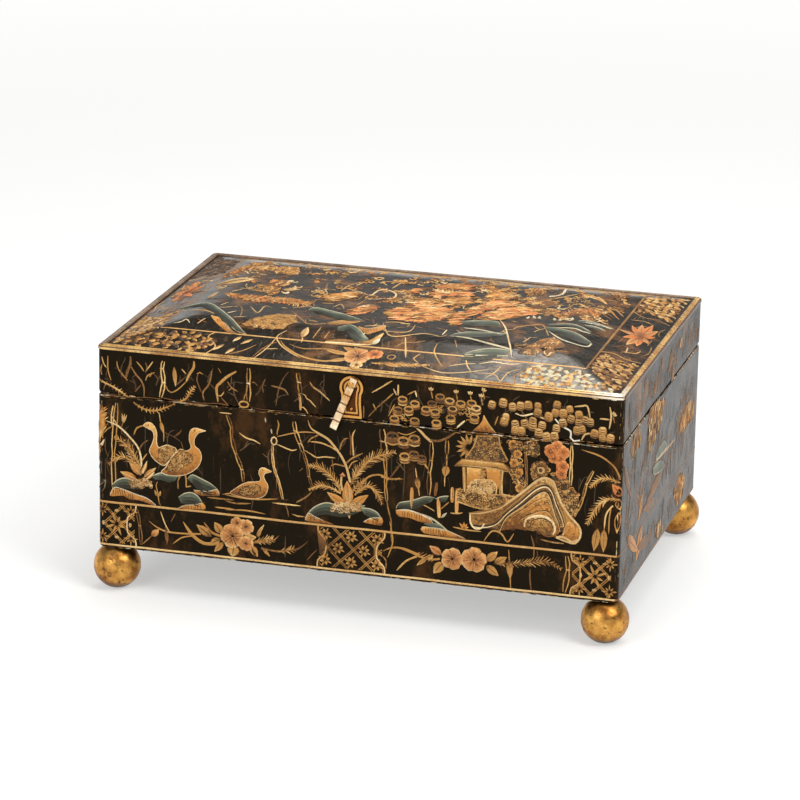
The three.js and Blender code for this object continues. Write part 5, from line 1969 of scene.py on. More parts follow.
# %% Band of the front
line_gap = 0.7
panel_low, panel_high = foot_line_level + line_gap, line_level - line_gap
star_panel(front, -straight_x, -144.5, panel_low, panel_high, 1)
star_panel(front, 139.8, straight_x, panel_low, panel_high, -1)
lattice_panel(front, -23.4, 19.8, panel_low, panel_high)
patch(front, "deep", [(-24, 56), (-23, 54), (-18, 49), (-19, 45), (-22, 40), (-23, 46)])
cane(front, [(-144, 57), (-142, 46), (-141, 33)], 2.0, "deep")
spike(front, "gold", [(-101, 45), (-112, 44), (-123, 44), (-130, 46), (-136, 50)], 1.1)
spike(front, "gold", [(-107, 43), (-114, 41), (-120, 36)], 0.9)
stroke(front, "deep", [(-140, 34), (-136, 38), (-134, 40)], 0.8)
leaf(front, "blossom", (-134, 40), (-129, 45), 4.2)
leaf(front, "amber", (-133, 41), (-131, 44), 2.6)
spike(front, "gold", [(-89, 40), (-99, 39), (-107, 44), (-113, 52)], 2.2)
spike(front, "gold", [(-88, 45), (-94, 47), (-99, 53)], 1.6)
for base, tip, width in (
    ((-94, 44), (-104, 51), 5.6), ((-87, 47), (-92, 54), 5.6), ((-88, 43), (-95, 39), 5.0),
    ((-86, 41), (-92, 34), 4.0), ((-79, 40), (-80, 32), 8.0), ((-68, 41), (-63, 34), 5.0),
    ((-73, 45), (-64, 47), 5.4),
):
    leaf(front, "gold", base, tip, width)
blossom(front, (-71, 53), 5.0, "blossom", 60)
blossom(front, (-77, 55), 4.0, "blossom", 20)
blossom(front, (-71, 42), 4.8, "blossom", 5)
blossom(front, (-80, 46), 7.8, "blossom", 42)
spike(front, "gold", [(-69, 43), (-60, 44), (-53, 46), (-49, 50)], 1.1)
frond(front, "gold", [(-65, 44), (-60, 45), (-53, 47)], 5.0, step=1.5, width=0.7)
spike(front, "gold", [(-61, 40), (-52, 39), (-45, 40), (-37, 42), (-30, 48)], 1.2)
frond(front, "gold", [(-50, 39), (-45, 40), (-39, 42)], 4.4, step=1.7, width=0.7)
for base, tip in (
    ((-64, 48), (-59, 56)), ((-63, 47), (-61, 54)), ((-60, 40), (-55, 35)), ((-67, 39), (-64, 34))
):
    leaf(front, "gold", base, tip, 2.2)
stroke(front, "gold", [(-128, 57), (-125, 49), (-122, 44)], 0.8)
spindle(front, [(-125, 47), (-123, 41), (-124, 35)], 2.4, "deep")
stroke(front, "deep", [(-121, 51), (-118, 57)], 0.6)
stroke(front, "deep", [(-45, 50), (-45, 43), (-45, 35)], 0.8)
stroke(front, "deep", [(-31, 35), (-26, 41), (-24, 43)], 0.7)

spike(front, "gold", [(43, 47), (33, 50), (25, 50), (19, 47)], 1.3)
spike(front, "gold", [(41, 46), (34, 42), (28, 35)], 1.2)
stroke(front, "gold", [(17, 45), (21, 41), (21, 35)], 0.9)
stroke(front, "gold", [(23, 67), (25, 58), (25, 52), (22, 43)], 0.8)
spike(front, "gold", [(56, 46), (50, 45), (43, 46), (38, 48), (30, 50)], 1.3)
frond(
    front, "gold", [(38, 48), (43, 46), (47, 45), (51, 45)], 6.0, step=1.5, lean=48, width=0.7,
    one_sided=1,
)
frond(front, "gold", [(54, 45), (50, 45), (47, 45)], 2.6, step=1.5, width=0.6)
leaf(front, "blossom", (57, 49), (49, 54), 5.2)
leaf(front, "gold", (58, 44), (52, 36), 6.4)
leaf(front, "gold", (48, 46), (41, 40), 2.8)
leaf(front, "gold", (86, 48), (93, 55), 5.0)
leaf(front, "gold", (91, 47), (99, 52), 4.8)
leaf(front, "gold", (86, 45), (94, 39), 5.2)
blossom(front, (64, 47), 6.9, "blossom", 72)
blossom(front, (78, 48), 8.0, "blossom", 84)
frond(
    front, "gold",
    [(92, 47), (103, 48), (113, 50), (124, 52), (134, 48)],
    5.4, step=1.7, lean=38, width=0.6,
)
cane(front, [(137, 57), (138, 48), (136, 33)], 3.2)
spindle(front, [(100, 57), (101, 44), (102, 31)], 4.0)
stroke(front, "deep", [(114, 68), (116, 61), (116, 53)], 0.9)
stroke(front, "deep", [(114, 46), (114, 40), (115, 32)], 0.9)
stroke(front, "deep", [(118, 59), (119, 52)], 0.7)
worn = ["cream", "pale", "deep", "dim", "dim"]
flecks(front, (-straight_x, 129.8), (100, 129.8), ["deep", "gold"], 0.5, 9.0)
# Painted highlight: pale specks along the case's top edge from here round the right corner stand for its
# glint.
flecks(front, (100, 130.0), (straight_x + corner_arc + 12, 130.0), ["cream", "pale", "cream"], 0.8, 0.8)
flecks(front, (-straight_x, 29.7), (straight_x, 29.7), worn, 0.8, 4.0)
for place in (-straight_x - 3.4, -straight_x - 0.6, straight_x + 1.5, straight_x + 3.6):
    flecks(front, (place, 127), (place, 34), worn, 0.8, 7.0)
lay_sheet(front)

# %% [markdown]
# The front of the lid is bare branches on the left, like cracks in ice, and hanging clusters of
# round pods on the right. The spire of the pavilion reaches up onto it from the case below.

# %% Front of the lid: bare branches
lid_front = new_sheet("lid_front_painting", "lid", on_wall)
thin, middling, thick = 0.8, 1.1, 1.7
for width, paint, lines in (
    (
        thin, "gold",
        [
            [(-167, 156), (-166, 152), (-164, 149)], [(-167, 151), (-168, 147), (-167, 144)],
            [(-163, 157), (-163, 148), (-161, 141)], [(-157, 154), (-156, 149), (-150, 142)],
            [(-144, 155), (-141, 152), (-139, 149)], [(-133, 156), (-138, 149)],
            [(-132, 149), (-136, 147), (-137, 146), (-138, 143)],
            [(-137, 147), (-135, 146), (-134, 149)], [(-114, 153), (-111, 150)],
            [(-111, 145), (-117, 139), (-121, 137), (-123, 138), (-125, 142)],
            [(-104, 151), (-102, 152), (-100, 151)], [(-97, 147), (-96, 146)], [(-95, 145), (-92, 142)],
            [(-84, 148), (-81, 144), (-77, 142)], [(-81, 144), (-83, 142)],
            [(-90, 138), (-88, 138), (-86, 141)], [(-68, 149), (-66, 149), (-64, 147)],
            [(-72, 141), (-73, 137)],
            [(-36, 145), (-33, 144), (-32, 142), (-30, 141), (-26, 137)],
            [(-36, 136), (-34, 136), (-32, 134), (-31, 132)],
            [(23, 159), (16, 154), (10, 150)], [(24, 151), (18, 145), (13, 140), (8, 134)],
            [(11, 143), (13, 139)], [(18, 156), (23, 159)], [(19, 146), (24, 151)],
            [(21, 136), (25, 144)], [(38, 154), (33, 151)], [(91, 143), (89, 137)],
        ],
    ),
    (
        middling, "pale",
        [
            [(-148, 152), (-144, 146), (-141, 143), (-139, 138), (-139, 132)],
            [(-94, 154), (-96, 145), (-100, 139), (-99, 134)],
            [(-55, 148), (-49, 147), (-46, 146), (-44, 143)],
            [(-30, 153), (-28, 150), (-23, 147), (-17, 142)],
            [(27, 157), (27, 150)], [(24, 154), (26, 150)], [(38, 154), (39, 150)],
            [(70, 138), (65, 133)],
            [(102, 146), (107, 145), (114, 147), (118, 145), (122, 144)],
            [(139, 154), (144, 155), (147, 155), (149, 147)],
            [(144, 133), (146, 137), (150, 138)], [(161, 156), (162, 150), (161, 142)],
            [(155, 148), (161, 148)],
        ],
    ),
    (
        thick, "gold",
        [
            [(-148, 158), (-148, 153), (-150, 148), (-151, 143)],
            [(-106, 159), (-106, 155), (-109, 150), (-111, 145)],
            [(-78, 155), (-84, 151), (-89, 146), (-91, 143), (-90, 134)],
        ],
    ),
    (
        thin, "deep",
        [
            [(-138, 155), (-137, 152), (-138, 148)], [(-103, 151), (-104, 147), (-101, 139)],
            [(-88, 137), (-83, 132)], [(-59, 152), (-61, 147), (-60, 143)],
            [(-44, 158), (-47, 154), (-50, 147), (-51, 142), (-52, 135)],
            [(-21, 159), (-21, 152), (-23, 139)], [(-90, 156), (-88, 153)], [(121, 155), (123, 156)],
            [(-165, 138), (-166, 134)], [(5, 141), (5, 133)], [(-141, 140), (-145, 135)],
            [(-125, 139), (-129, 136)],
        ],
    ),
    (
        0.6, "deep",
        [
            [(-166, 132), (-156, 131), (-147, 131), (-137, 132), (-127, 132)],
            [(-107, 132), (-99, 132), (-88, 133), (-83, 132)],
            [(-69, 133), (-63, 132), (-52, 132), (-41, 132), (-30, 132)],
            [(-127, 133), (-119, 132), (-114, 132)],
        ],
    ),
):
    for line in lines:
        stroke(lid_front, paint, line, width, start=0.5, end=0.4)
for line, gap in (
    ([(-126, 157), (-127, 152), (-126, 143), (-128, 133)], 3.0),
    ([(-70, 158), (-70, 148), (-70, 136)], 3.0), ([(-38, 158), (-37, 152), (-36, 145)], 3.2),
    ([(-37, 145), (-36, 139), (-36, 134)], 1.2),
):
    cane(lid_front, line, gap, width=0.9)
leaf(lid_front, "gold", (-119, 154), (-118, 141), 2.8)
ring(lid_front, "gold", (-73, 134), 3.2, 1.0, 0.6)
frond(
    lid_front, "gold",
    [(-170, 141), (-165, 139), (-160, 137), (-156, 135), (-151, 132), (-149, 131)],
    2.6, step=1.8, lean=60,
)
frond(
    lid_front, "gold",
    [(-116, 131), (-111, 134), (-108, 139), (-105, 143)],
    2.8, step=1.4, lean=60, width=0.7,
)
stroke(
    lid_front, "cream",
    [(127, 145), (131, 141), (137, 138), (137, 134), (139, 132), (143, 133)],
    1.1, start=0.8, end=0.6,
)
print("branches drawn")

# %% Front of the lid: pods and the spire
for spot in (
    (30, 147), (38, 145), (27, 140), (34, 141), (25, 134), (38, 134), (45, 142), (49, 146), (54, 151),
    (60, 149), (51, 141), (62, 144), (61, 138), (52, 134), (67, 148), (74, 149), (77, 146), (76, 140),
):
    pod(lid_front, spot, 6.6, chance.uniform(-10, 10))
curls(lid_front, (71, 144), 5.5, 6, 30, "gold", 1.8)
curls(lid_front, (55, 146), 5, 4, 16, "gold", 2.2)
curls(lid_front, (32, 138), 4, 4, 16, "gold", 2.0)


def striped_pod(sheet, centre, size, tilt):
    """A pod seen from the side: a rounded block with a few stripes across."""
    up_way, across = heading(90 + tilt), heading(tilt)
    centre = Vector(centre)
    corners = (
        (-0.4, -0.3), (-0.38, 0.3), (-0.2, 0.46), (0.2, 0.46), (0.38, 0.3), (0.4, -0.3), (0.18, -0.48),
        (-0.18, -0.48),
    )
    block = [centre + (across * x + up_way * y) * size for x, y in corners]
    patch(sheet, "gold", block, rise=0.24, smooth=False)
    stroke(sheet, "deep", block + block[:1], 0.5, 1, 1, lift=0.16)
    for level in (-0.26, -0.02, 0.24):
        middle = centre + up_way * level * size
        ends = [
            middle - across * size * 0.34, middle - up_way * size * 0.09, middle + across * size * 0.34
        ]
        stroke(sheet, "ink", ends, size * 0.12, lift=0.26)
        stroke(sheet, "pale", [end + up_way * size * 0.11 for end in ends], size * 0.08, lift=0.28)


for spot in (
    (87, 150), (94, 152), (100, 150), (105, 151), (110, 152), (116, 152), (116, 148), (128, 154),
    (127, 149), (132, 149), (136, 152), (142, 149), (123, 146), (137, 146), (132, 143), (142, 144),
    (146, 146), (149, 145), (102, 139), (108, 140), (113, 142), (113, 139), (119, 140), (117, 135),
    (128, 139), (127, 134), (122, 133), (141, 139), (144, 140), (152, 138), (157, 140), (157, 136),
    (162, 136), (96, 143), (95, 140), (102, 135), (106, 135),
):
    striped_pod(lid_front, spot, chance.uniform(5.2, 6.4), chance.uniform(-14, 14))
for spot, turn in (
    ((48, 155), 90), ((64, 155), 90), ((81, 158), 60), ((80, 154), 90), ((73, 155), 90), ((163, 151), 40)
):
    clover(lid_front, spot, 2.6, turn)
    stroke(lid_front, "gold", [spot, (spot[0] + 1.2, spot[1] - 5)], 0.7)
patch(
    lid_front, "amber",
    [(82, 143), (84, 139), (87, 135), (90, 132), (83, 132), (75, 132), (79, 136), (81, 139)],
    rise=0.3, smooth=False,
)
stroke(lid_front, "pale", [(82, 143), (84, 139), (87, 135), (90, 132)], 0.9, lift=0.3)
for step in range(5):
    low = Vector((78, 132)) + Vector((2.4 * step, -0.4 * step))
    stroke(lid_front, "deep", [low, low + Vector((0.3, 3.4))], 0.5, lift=0.3)
clasp_left, clasp_right = -14, 10
for step in range(30):
    x = -164 + 11 * step + chance.uniform(-4, 4)
    if not clasp_left < x < clasp_right:
        spot = (x, chance.uniform(134, 150))
        twig(lid_front, spot, chance.uniform(40, 140), chance.uniform(6, 10), "dim", 0.9, 1)
worn = ["gold", "pale", "deep", "dim", "dim"]
flecks(lid_front, (-straight_x, lid_bottom + 0.6), (-16, lid_bottom + 0.6), worn, 0.7)
flecks(lid_front, (8, lid_bottom + 0.6), (straight_x, lid_bottom + 0.6), worn, 0.7)
# Painted highlight: pale specks along the top of the lid near the right corner stand for the glint there.
flecks(
    lid_front, (150, lid_top - 0.4),
    (straight_x + corner_arc + 6, lid_top - 0.4),
    ["cream", "pale"], 1.0, 1.0,
)
for place in (-straight_x - 3.4, straight_x + 1.5, straight_x + 3.6):
    flecks(lid_front, (place, lid_top - 1), (place, lid_bottom + 1), worn, 0.8, 5.0)
lay_sheet(lid_front)

# %% [markdown]
# The roof carries the same kind of landscape, drawn as seen from above: grey-green banks with
# pale edges, orange rocks, dark water and bare branches, inside a thin gold frame. Outside the
# frame each side has a spray or a flower, and the corners are filled with a leaf pattern.
# The landscape and the border are two sheets, so that neither mesh grows too heavy.

# %% Roof: frame and corner pattern
roof = new_sheet("roof_painting", "lid", on_roof)
border = new_sheet("roof_border_painting", "lid", on_roof)
frame_x, frame_y = 138.5, 86.0
for side in (-1, 1):
    stroke(
        roof, "line",
        [(-frame_x, side * frame_y), (0, side * frame_y + 0.3), (frame_x, side * frame_y)],
        1.3, 1, 1, spacing=6,
    )
    # The left frame line is painted deep, a painted shade on the left slope.
    edge_paint = "line" if side > 0 else "deep"
    stroke(
        roof, edge_paint, [(side * frame_x, -frame_y), (side * frame_x, frame_y)], 1.3, 1, 1, spacing=6
    )
rim_x, rim_y = roof_edge_x - 1.6, roof_edge_y - 1.6


def leaf_pattern(sheet, outline, tints, step=9.0):
    """Fills a corner with loose leaves on double diagonals, as far as its outline goes."""
    outline = [Vector(corner) for corner in outline]
    low_x, low_y, high_x, high_y = frame_round(outline)
    rows, columns = round((high_y - low_y) * 2 / step), round((high_x - low_x) / step) + 1
    for row, column in itertools.product(range(rows), range(columns)):
        spot = Vector((low_x + step * (column + 0.5 * (row % 2)), low_y + step * (row + 0.5) / 2))
        if not inside(spot, outline):
            continue
        for turn in (40, 130, 220, 310):
            way = heading(turn + chance.uniform(-32, 32)) * step * chance.uniform(0.36, 0.85)
            if not inside(spot + way, outline):
                way = way * 0.4
            if inside(spot + way, outline):
                tint, width = chance.choice(tints), step * chance.uniform(0.2, 0.46)
                leaf(sheet, tint, spot + way * 0.08, spot + way, width, vein=None)
        for shift in (-0.7, 0.7):
            slant = Vector((step * 0.42, -step * 0.42))
            ends = [spot + Vector((shift, 0)) + way for way in (-slant, slant)]
            if row % 3 == 0 and all(inside(end, outline) for end in ends):
                stroke(sheet, tints[0], ends, 0.6, spacing=6)


bracket = 104
long_bracket = 46
for side_x in (-1, 1):
    for side_y in (-1, 1):
        front_part = [
            (rim_x, rim_y), (bracket, rim_y), (bracket - 6, rim_y - 12), (bracket, frame_y + 1),
            (frame_x, frame_y + 1),
        ]
        side_part = [
            (rim_x, rim_y), (frame_x + 1, frame_y), (frame_x + 1, long_bracket),
            (frame_x + 14, long_bracket + 7), (rim_x, long_bracket),
        ]
        for part in (front_part, side_part):
            tints = ("gold", "gold", "pale", "deep")
            # The back left corner's leaves are dim, a painted shade on the left slope.
            if side_x < 0 < side_y:
                tints = ("dim", "dim", "deep")
            # At the front, the right corner's leaves are pale and cream, a painted highlight where the
            # glare falls, and the left corner's are darker, a painted shade.
            elif side_y < 0 and part is front_part:
                tints = ("gold", "gold", "deep", "dim") if side_x < 0 else (
                    "pale", "cream", "gold", "deep", "cream"
                )
            leaf_pattern(border, [(side_x * x, side_y * y) for x, y in part], tints)
        curve = [
            (bracket - 2, frame_y), (bracket + 1, frame_y + 6), (bracket - 7, frame_y + 16),
            (bracket - 4, rim_y),
        ]
        stroke(border, "line", [(side_x * x, side_y * y) for x, y in curve], 1.0, 1, 1)
        curve = [
            (frame_x, long_bracket + 2), (frame_x + 8, long_bracket - 3), (frame_x + 16, long_bracket),
            (rim_x, long_bracket - 2),
        ]
        stroke(border, "line", [(side_x * x, side_y * y) for x, y in curve], 1.0, 1, 1)
print("frame and corners drawn")

# %% Roof: sprays and flowers of the border
def border_spray(sheet, facing):
    """The spray in the middle of a long side. facing is 1 in front and -1 at the back."""
    def at(x, y):
        return (facing * x, facing * y)

    spike(sheet, "gold", [at(-10, -101), at(-24, -107), at(-40, -104), at(-52, -96), at(-58, -89)], 1.6)
    stroke(sheet, "gold", [at(-58, -88), at(-66, -98), at(-70, -111)], 1.0)
    spike(sheet, "gold", [at(-10, -96), at(-26, -93), at(-42, -95), at(-52, -91)], 1.1)
    frond(
        sheet, "gold",
        [at(6, -104), at(18, -103), at(30, -102), at(42, -100)],
        5.4, step=1.6, lean=36, width=0.7,
    )
    for base, tip, width in (
        (at(-8, -93), at(-17, -89), 4.4), (at(-12, -97), at(-26, -95), 4.0),
        (at(-10, -102), at(-22, -107), 4.4), (at(-4, -94), at(-10, -88), 4.0),
        (at(12, -102), at(24, -106), 4.0),
    ):
        leaf(sheet, "gold", base, tip, width)
    blossom(sheet, at(-5, -98), 8.6, "blossom", 12)
    blossom(sheet, at(5, -94), 5.2, "orange", 40)
    blossom(sheet, at(-3, -108), 4.0, "pale", 0)
    ring(sheet, "gold", at(16, -95), 2.6, 0.8)
    for line in (
        [at(33, -88), at(30, -94), at(34, -98)],
        [at(38, -102), at(52, -107), at(66, -104), at(80, -98)],
        [at(62, -87), at(65, -96), at(69, -102)], [at(54, -99), at(62, -95), at(70, -93)],
        [at(72, -93), at(80, -89), at(90, -90), at(98, -88)],
        [at(72, -104), at(84, -103), at(90, -110), at(92, -100), at(99, -94)],
        [at(86, -93), at(84, -101), at(80, -108)],
    ):
        stroke(sheet, "pale", line, 0.8, spacing=3)
    for base, tip in (
        (at(-84, -88), at(-88, -95)), (at(-76, -90), at(-82, -97)), (at(-92, -99), at(-97, -107)),
        (at(-84, -102), at(-88, -110)),
    ):
        leaf(sheet, "pale", base, tip, 2.6)
    stroke(sheet, "gold", [at(-72, -96), at(-78, -104), at(-86, -110)], 0.8)


def border_flower(sheet, side):
    """The flower with pointed petals in the middle of a short side."""
    centre = Vector((side * 153, 4))
    tips = (
        (-14, 0), (-9, 16), (-4, 24), (2, 30), (7, 22), (8, 8), (7, -8), (2, -20), (-4, -24), (-9, -12)
    )
    for index, (x, y) in enumerate(tips):
        # On the left the flower's other petals are deep, a painted shade on the left slope.
        other = "blossom" if side > 0 else "deep"
        leaf(sheet, "orange" if index % 2 else other, centre, centre + Vector((side * x, y)), 5.4)
    ring(sheet, "deep", centre, 1.8, 0.8, lift=0.3)
    for line in (
        [(6, -26), (4, -34), (-3, -38)], [(-2, -28), (-1, -38)], [(10, 30), (8, 20), (10, 12)],
        [(-12, 26), (-4, 32), (2, 30)], [(10, -12), (11, -26), (8, -36)],
    ):
        stroke(sheet, "pale", [centre + Vector((side * x, y)) for x, y in line], 0.9)


for facing in (1, -1):
    border_spray(border, facing)
    border_flower(border, facing)
print("border of the roof drawn")

# %% [markdown]
# Inside the frame, the left end has a long bank over undercut orange rock, a bush, and feathery
# foliage behind. The shapes look flat in the photograph because the roof is seen nearly edge on.

# %% Roof: left end of the landscape
bank(roof, [(-142, -42), (-135, -35), (-124, -36), (-113, -47), (-100, -64), (-91, -75), (-83, -84)], 11)
rock_face(
    roof,
    [(-112, -65), (-106, -67), (-99, -75), (-92, -83), (-87, -86), (-93, -86), (-100, -80), (-107, -73)],
    [((-105, -70), (-103, -74)), ((-99, -76), (-98, -82)), ((-93, -83), (-93, -85))],
)
spike(
    roof, "pale",
    [(-82, -85), (-90, -82), (-98, -73), (-108, -63), (-117, -56), (-128, -51), (-138, -47)],
    1.4,
)
bush = [(-88, -74), (-82, -61), (-73, -49), (-62, -48), (-57, -62), (-63, -75), (-75, -76)]
curled_patch(roof, "deep", bush, 0.1, (60, "gold", 2.8, 0.7, 0.16))
foliage(
    roof,
    [
        (-121, -11), (-109, -13), (-95, -11), (-83, -12), (-69, -11), (-66, -23), (-80, -24), (-93, -27),
        (-106, -23),
    ],
    "orange", 6.0, 22.0,
)
for spine in (
    [(-119, -14), (-105, -17), (-91, -18), (-79, -15), (-68, -16)],
    [(-82, -13), (-74, -17), (-67, -19), (-60, -18)],
):
    frond(roof, "amber", spine, 10, step=1.5, lean=55, width=0.9)
for outline, paint in (
    ([(-100, 18), (-99, 28), (-90, 30), (-86, 21), (-92, 12)], "orange"),
    ([(-99, 3), (-99, 13), (-90, 11), (-87, -3), (-92, -8)], "amber"),
    ([(-104, 46), (-103, 60), (-94, 63), (-88, 48), (-93, 41)], "amber"),
    ([(-124, 49), (-125, 65), (-120, 68), (-117, 55), (-120, 45)], "amber"),
    ([(-136, 31), (-137, 49), (-133, 61), (-127, 63), (-125, 49), (-131, 42)], "orange"),
):
    foliage(roof, outline, paint)
for base, tip, width in (
    ((-135, 15), (-111, 26), 15), ((-128, -23), (-126, -7), 3.4), ((-87, 7), (-76, 12), 5),
    ((-118, 50), (-113, 60), 8),
):
    leaf(roof, "pale", base, tip, width)
for line in (
    [(-133, -79), (-128, -77), (-126, -73), (-122, -78)],
    [(-117, -78), (-114, -70)], [(-113, -46), (-102, -39)], [(-114, -40), (-111, -32)],
    [(-104, -34), (-98, -44), (-94, -60)], [(-104, -56), (-100, -50)], [(-98, -64), (-90, -60)],
    [(-95, -36), (-86, -49), (-86, -33), (-81, -35)],
    [(-75, -33), (-71, -33)], [(-113, 39), (-107, 39)], [(-117, -7), (-112, 1)],
    [(-62, -85), (-64, -98), (-69, -113)],
    [(-58, -76), (-62, -84), (-57, -93), (-48, -101), (-40, -106)],
    [(-66, -100), (-57, -98)],
):
    stroke(roof, "pale", line, 0.9)
foliage(
    roof,
    [(-162, 2), (-160, 21), (-156, 37), (-151, 33), (-149, 16), (-153, 3), (-156, -5)],
    "orange", 6.0, 20.0,
)
frond(roof, "orange", [(-161, 0), (-157, 15), (-153, 35)], 5, step=1.8, width=0.9)
print("left end of the roof drawn")

# %% Roof: middle of the landscape
bank(roof, [(-57, -33), (-55, -26), (-45, -29), (-32, -35), (-22, -41), (-17, -45)], 13)
spike(roof, "pale", [(-16, -45), (-25, -52), (-36, -58), (-47, -63), (-54, -56), (-67, -37)], 1.3)
patch(roof, "gold", [(-37, -57), (-28, -47), (-18, -47), (-24, -55), (-33, -61)], rise=0.1)
bank(roof, [(-28, -65), (-22, -57), (-15, -63), (-8, -73), (-4, -77)], 15)
spike(roof, "pale", [(-30, -85), (-19, -84), (-9, -84), (0, -83)], 1.6)
patch(
    roof, "gold",
    [(-30, -84), (-21, -80), (-10, -80), (-3, -78), (3, -67), (3, -76), (1, -82), (-12, -84)],
    rise=0.14,
)
rock_face(
    roof,
    [(-16, -59), (-8, -61), (-1, -51), (1, -58), (-2, -66), (-8, -70)],
    [((-11, -61), (-8, -68)), ((-6, -60), (-3, -67))],
)
leaf(roof, "cream", (0, -83), (3, -75), 4)
leaf(roof, "pale", (-46, -83), (-46, -69), 5)
stroke(roof, "gold", [(-45, -88), (-45, -85), (-46, -82)], 0.8)
for line, paint, width in (
    ([(-67, -1), (-64, 9), (-61, 18), (-64, 34)], "pale", 1.0),
    ([(-61, 18), (-56, 7)], "pale", 0.9),
    ([(-50, 17), (-49, 31), (-45, 40)], "pale", 0.9),
    (
        [(-44, 21), (-39, 20), (-29, 14), (-27, 27), (-21, 29), (-14, 22), (-13, 12), (-18, 9), (-30, 3)],
        "pale", 1.3,
    ),
    ([(-15, 11), (-10, -1)], "pale", 1.0),
    ([(-34, 19), (-34, 1), (-44, 1), (-54, 1)], "gold", 1.1),
    ([(-44, -22), (-41, -13), (-36, -23)], "pale", 1.0),
    ([(-31, -13), (-29, 1)], "gold", 0.9), ([(-17, -26), (-16, -16)], "cream", 1.4),
    ([(-30, 46), (-25, 40)], "pale", 0.9),
    ([(-20, 34), (-18, 50), (-17, 57)], "gold", 1.4),
    ([(-39, -82), (-38, -67)], "gold", 0.6), ([(-32, -81), (-31, -72)], "gold", 0.6),
    ([(-3, -44), (3, -41), (10, -41)], "gold", 1.0),
    ([(-3, -46), (0, -58), (5, -63), (17, -59), (17, -43)], "pale", 1.0),
    ([(1, -57), (7, -69), (15, -69), (28, -60), (39, -63), (42, -58)], "gold", 1.0),
    ([(39, -59), (39, -47)], "pale", 0.9), ([(18, -70), (25, -94)], "gold", 1.0),
    ([(15, -83), (20, -76), (25, -76), (32, -72)], "gold", 0.8),
    ([(40, -74), (41, -85), (50, -100)], "gold", 0.8),
    ([(49, -66), (53, -76)], "gold", 0.6),
    ([(64, -12), (73, -31), (82, -58), (90, -82)], "pale", 1.0),
    ([(74, -34), (78, -33), (80, -26), (88, -19), (94, -17), (103, -39)], "gold", 1.0),
):
    stroke(roof, paint, line, width)
for outline in (
    [(-9, -20), (1, -2), (8, 7), (19, 5), (34, -7), (33, -20), (21, -36), (3, -37)],
    [(-1, 1), (5, 18), (13, 12), (9, 3), (4, -7)],
    [(14, 7), (22, 24), (33, 31), (38, 14), (26, 9), (21, 4)],
    [(7, 31), (18, 39), (31, 42), (33, 34), (20, 29), (13, 24)],
    [(5, 47), (13, 58), (26, 59), (29, 48), (16, 45)],
    [(-11, 29), (-3, 38), (-1, 31), (-6, 25)],
    [(-56, 3), (-45, 17), (-37, 18), (-40, -1), (-51, -9)],
    [(-33, -25), (-23, -7), (-17, -14), (-20, -30), (-27, -35)],
    [(36, -29), (36, -12), (42, 8), (53, 29), (66, 29), (64, 20), (53, 9), (44, -13), (43, -36)],
    [(50, -17), (54, 0), (61, 13), (72, 19), (85, 16), (82, 5), (71, -10), (61, -16)],
    [(44, 38), (49, 53), (60, 46), (63, 38), (53, 30)],
):
    foliage(roof, outline, chance.choice(["orange", "orange", "amber"]), 11.0, 14.0, 24.0)
for spine in (
    [(-4, -30), (3, -13), (9, 4), (9, 19)],
    [(21, -36), (25, -20), (31, -12), (39, -12)],
    [(50, 8), (50, 25), (48, 48)],
):
    frond(roof, "amber", spine, 11, step=1.7, lean=50, width=0.9)
print("middle of the roof drawn")

# %% Roof: right end of the landscape
spike(roof, "pale", [(38, -36), (40, -13), (50, 9), (64, 20), (78, 35), (94, 55), (104, 69)], 2.4)
spike(roof, "cream", [(82, 49), (89, 59), (84, 94)], 1.8)
spike(roof, "gold", [(70, 40), (71, 62)], 1.3)
spike(roof, "gold", [(106, 53), (109, 64)], 1.4)
for crest, fade in (
    ([(43, -27), (50, -22), (64, -19), (68, -27)], 13),
    ([(44, -58), (51, -49), (64, -45), (77, -43)], 12),
    ([(60, -83), (66, -78), (75, -74), (87, -74)], 14),
    ([(96, -21), (105, -21), (117, -27), (127, -35), (131, -39)], 14),
    ([(96, -15), (110, -9), (118, -13), (126, -19)], 6),
    ([(113, 0), (122, 2), (130, 1), (136, 2)], 6),
    ([(119, -8), (128, -6), (133, -8)], 5),
):
    bank(roof, crest, fade)
for line, width in (
    ([(48, -40), (60, -41), (74, -46)], 1.8),
    ([(44, -60), (56, -61), (70, -67), (87, -73)], 2.4),
    ([(60, -84), (74, -83), (87, -81)], 1.4),
    ([(101, -30), (113, -45), (123, -50), (130, -48), (131, -40)], 1.4),
    ([(104, -20), (114, -18), (121, -22), (126, -22)], 1.8),
    ([(117, -3), (127, -1), (135, 0)], 1.6),
):
    stroke(roof, "cream", line, width, start=0.3, end=0.7, lift=0.15)
for outline, paint in (
    (
        [(92, -76), (96, -64), (101, -49), (108, -43), (118, -57), (114, -65), (105, -66), (98, -76)],
        "amber",
    ),
    ([(95, -76), (101, -67), (107, -71), (103, -77)], "pale"),
    ([(107, -73), (111, -66), (115, -70), (114, -77), (111, -78)], "pale"),
    ([(98, 8), (104, 20), (110, 27), (116, 34), (123, 26), (122, 15), (113, 14), (103, 6)], "orange"),
    ([(63, 59), (68, 66), (75, 67), (78, 53), (69, 46)], "amber"),
    ([(121, 65), (118, 108), (130, 77), (129, 68)], "amber"),
    ([(14, 52), (20, 60), (29, 54), (28, 44), (19, 41)], "amber"),
    ([(87, 9), (92, 21), (98, 17), (94, 8)], "amber"),
):
    foliage(roof, outline, paint, 5.0, 18.0)
frond(roof, "orange", [(98, 8), (108, 20), (122, 27)], 8, step=1.5, lean=60, width=0.9)
for base, tip in (
    ((81, -7), (81, -1)), ((86, -5), (83, 2)), ((89, -5), (87, 2)), ((99, -5), (97, 1)),
    ((106, -2), (105, 4)), ((109, -1), (108, 6)), ((70, -10), (67, -5)), ((102, -5), (101, 1)),
):
    leaf(roof, "cream", base, tip, 2.2, vein=None)
